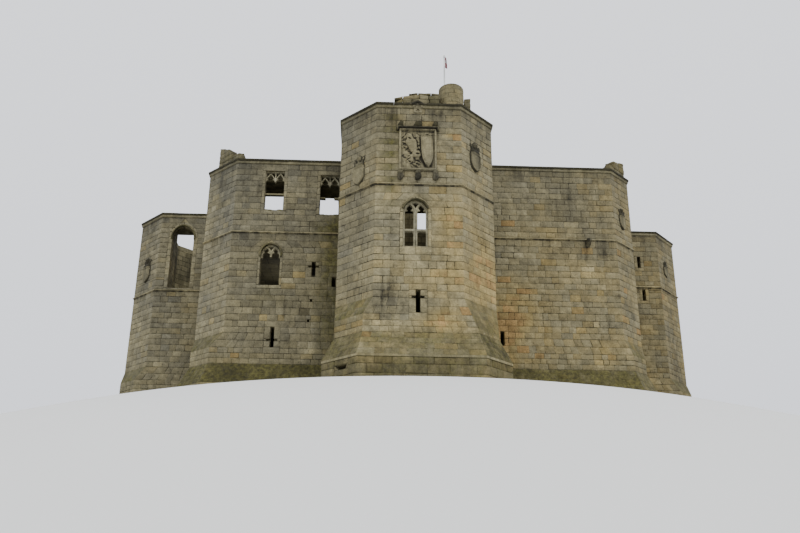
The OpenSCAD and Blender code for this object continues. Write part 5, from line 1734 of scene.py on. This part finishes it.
class KEEP_OT_pole(bpy.types.Operator):
    """Turn the flagpole with its socket, collars, cap and ball"""
    bl_idname = "keep.pole"
    bl_label = "Make the flagpole"

    def execute(self, context):
        low, high = (np.array(v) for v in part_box("flagpole"))
        middle = (low + high)[:2] / 2
        ball = np.linspace(0.25, TAU / 2 - 0.02, 12)
        shape = np.vstack([POLE, np.stack([BALL_Z - BALL_R * np.cos(ball), BALL_R * np.sin(ball)], 1)])
        pile = Pile()
        height = shape[:, 0] * (high[2] - low[2]) / POLE_TOP
        lathe(pile, middle, shape[:, 1], low[2] + height, 40)
        pile.piece("pole_turned", "pole_paint", "painted_pole", ["flagpole"])
        return {"FINISHED"}


# Share of the flag's solid that its cloth takes up in width
FLAG_SHARE = 0.62


class KEEP_OT_flag(bpy.types.Operator):
    """Hang the limp flag in narrow folds"""
    bl_idname = "keep.flag"
    bl_label = "Hang the flag"

    def execute(self, context):
        low, high = (np.array(v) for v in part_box("flag"))
        u, v = np.meshgrid(np.linspace(0, 1, 181), np.linspace(0, 1, 61))
        fold = TAU * (8.2 * u + 0.25 * np.sin(3 * v) + 0.35 * u * v)
        reach = 0.62 + 0.38 * np.sin(TAU / 4 * v) ** 0.8
        width = FLAG_SHARE * (high[0] - low[0])
        x = low[0] + width * (u + 0.035 * np.sin(2 * fold) * u * (1 - u) * 2) * reach
        y = (low[1] + high[1]) / 2 + 0.0165 * np.sin(fold) * np.clip(8 * u, 0, 1) * (0.7 + 0.3 * v)
        top, foot = high[2] - 0.005 - 0.09 * u ** 1.3, low[2] + 0.005 + 0.05 * (1 - u) ** 2
        z = top + (foot - top) * v
        cloth = np.stack([x, y, z], -1)
        pile = Pile()
        pile.add(cloth, loft(cloth, False, False), tone=np.where(np.abs(v - 0.42) < 0.1, 1.0, 0.0))
        flag = pile.piece("flag_cloth", "flag_cloth", "flag_cloth", ["flag"], closed=False)
        return {"FINISHED"}


class KEEP_OT_stage(bpy.types.Operator):
    """Set the pale ground, the soft light and the camera"""
    bl_idname = "keep.stage"
    bl_label = "Set the stage"

    def execute(self, context):
        ground()
        lights()
        camera()
        return {"FINISHED"}


def ground():
    """Level ground round the keep that at distance d past a ring lies steep d^2 / (d + ease) lower."""
    t = np.linspace(0, TAU, 145)[:-1]
    r = np.concatenate([np.linspace(0.5, 16, 12), np.linspace(16.6, 24, 14), np.linspace(26, 90, 14),
                        [200, 600]])
    ring, steep, ease = 16.2, 0.36, 2.2
    fall = np.maximum(r - ring, 0)
    z = -steep * fall * fall / (fall + ease)
    rings = np.stack([r[:, None] * np.cos(t), r[:, None] * np.sin(t),
                      np.broadcast_to(z[:, None], (len(r), len(t)))], -1)
    faces = loft(rings, ends=False) + [np.arange(len(t))[None]]
    mesh = bpy.data.meshes.new("studio_floor")
    mesh.from_pydata(rings.reshape(-1, 3).tolist(), [], [f for part in faces for f in part.tolist()])
    face_outwards(mesh, upwards=True)
    finished("studio_floor", mesh, finish("studio_floor"), True)


def lights():
    """Pale sky, lighter above, a wide soft light from above the camera's right, a glow in the hall."""
    world = bpy.data.worlds.new("studio_sky")
    bpy.context.scene.world = world
    world.use_nodes = True
    tree = world.node_tree
    view = tree.nodes.new("ShaderNodeTexCoord").outputs["Generated"]
    up = node(tree, "SeparateXYZ", in_0=view).outputs[2]
    sky = ramp(tree, reckon(tree, "MULTIPLY_ADD", up, 0.5, 0.5, True),
               [(0.0, (0.5, 0.53, 0.6, 1)), (1.0, (0.92, 0.94, 0.99, 1))])
    tree.links.new(sky, tree.nodes["Background"].inputs["Color"])
    tree.nodes["Background"].inputs["Strength"].default_value = 1.72
    lamp = bpy.data.lights.new("soft_sun", "SUN")
    lamp.energy = 1.6
    lamp.angle = math.radians(35)
    shown("soft_sun", lamp).rotation_euler = (math.radians(46), 0, math.radians(12))
    glow = bpy.data.lights.new("hall_glow", "POINT")
    glow.energy = 60
    glow.shadow_soft_size = 0.6
    shown("hall_glow", glow).location = (-6.2, -5.0, 6.2)


# The fitted view: place in metres, angles in radians, focal length and picture width in pixels
EYE = (-2.287, -45.368, -6.7)
YAW, PITCH, ROLL = 0.038, 0.357, 0.010
FOCAL, PICTURE_W = 854.04, 800


def camera():
    """The photograph's view: three axes turned by heading, pitch and roll, and the lens for its width."""
    forward = np.array([math.sin(YAW) * math.cos(PITCH), math.cos(YAW) * math.cos(PITCH), math.sin(PITCH)])
    right = np.array([math.cos(YAW), -math.sin(YAW), 0])
    up = np.cross(right, forward)
    across = math.cos(ROLL) * right + math.sin(ROLL) * up
    above = -math.sin(ROLL) * right + math.cos(ROLL) * up
    data = bpy.data.cameras.new("camera")
    data.sensor_width = 36
    data.lens = FOCAL * data.sensor_width / PICTURE_W
    data.clip_end = 2000
    matrix = np.eye(4)
    matrix[:3] = np.stack([across, above, -forward, EYE], 1)
    view = shown("camera", data)
    view.matrix_world = Matrix(matrix.tolist())
    bpy.context.scene.camera = view


class KEEP_PT_panel(bpy.types.Panel):
    """Sizes, colours and steps of the keep"""
    bl_idname = "KEEP_PT_panel"
    bl_label = "Castle Keep"
    bl_space_type = "VIEW_3D"
    bl_region_type = "UI"
    bl_category = "Keep"

    def draw(self, context):
        for group in GROUPS:
            box = self.layout.box()
            box.label(text=group)
            for name in getattr(context.scene, group).bl_rna.properties.keys():
                if name not in ("rna_type", "name"):
                    box.prop(getattr(context.scene, group), name)
        for step in STEPS:
            self.layout.operator(step.bl_idname)


GROUPS = {"keep_plan": KeepPlan, "keep_openings": KeepOpenings, "keep_stones": KeepStones,
          "keep_colours": KeepColours}
STEPS = (KEEP_OT_stage, KEEP_OT_core, KEEP_OT_stones, KEEP_OT_courses, KEEP_OT_tracery,
         KEEP_OT_panel_carving, KEEP_OT_shields, KEEP_OT_parapet, KEEP_OT_stack, KEEP_OT_pole, KEEP_OT_flag)


def register():
    """Adds the classes and the scene's property groups."""
    for item in (*GROUPS.values(), *STEPS, KEEP_PT_panel):
        bpy.utils.register_class(item)
    for name, group in GROUPS.items():
        setattr(bpy.types.Scene, name, PointerProperty(type=group))


def unregister():
    """Takes them away again."""
    for name in GROUPS:
        delattr(bpy.types.Scene, name)
    for item in reversed((*GROUPS.values(), *STEPS, KEEP_PT_panel)):
        bpy.utils.unregister_class(item)


def main():
    """Runs every step in order."""
    register()
    for step in STEPS:
        group, name = step.bl_idname.split(".")
        getattr(getattr(bpy.ops, group), name)()


if __name__ == "__main__":
    main()
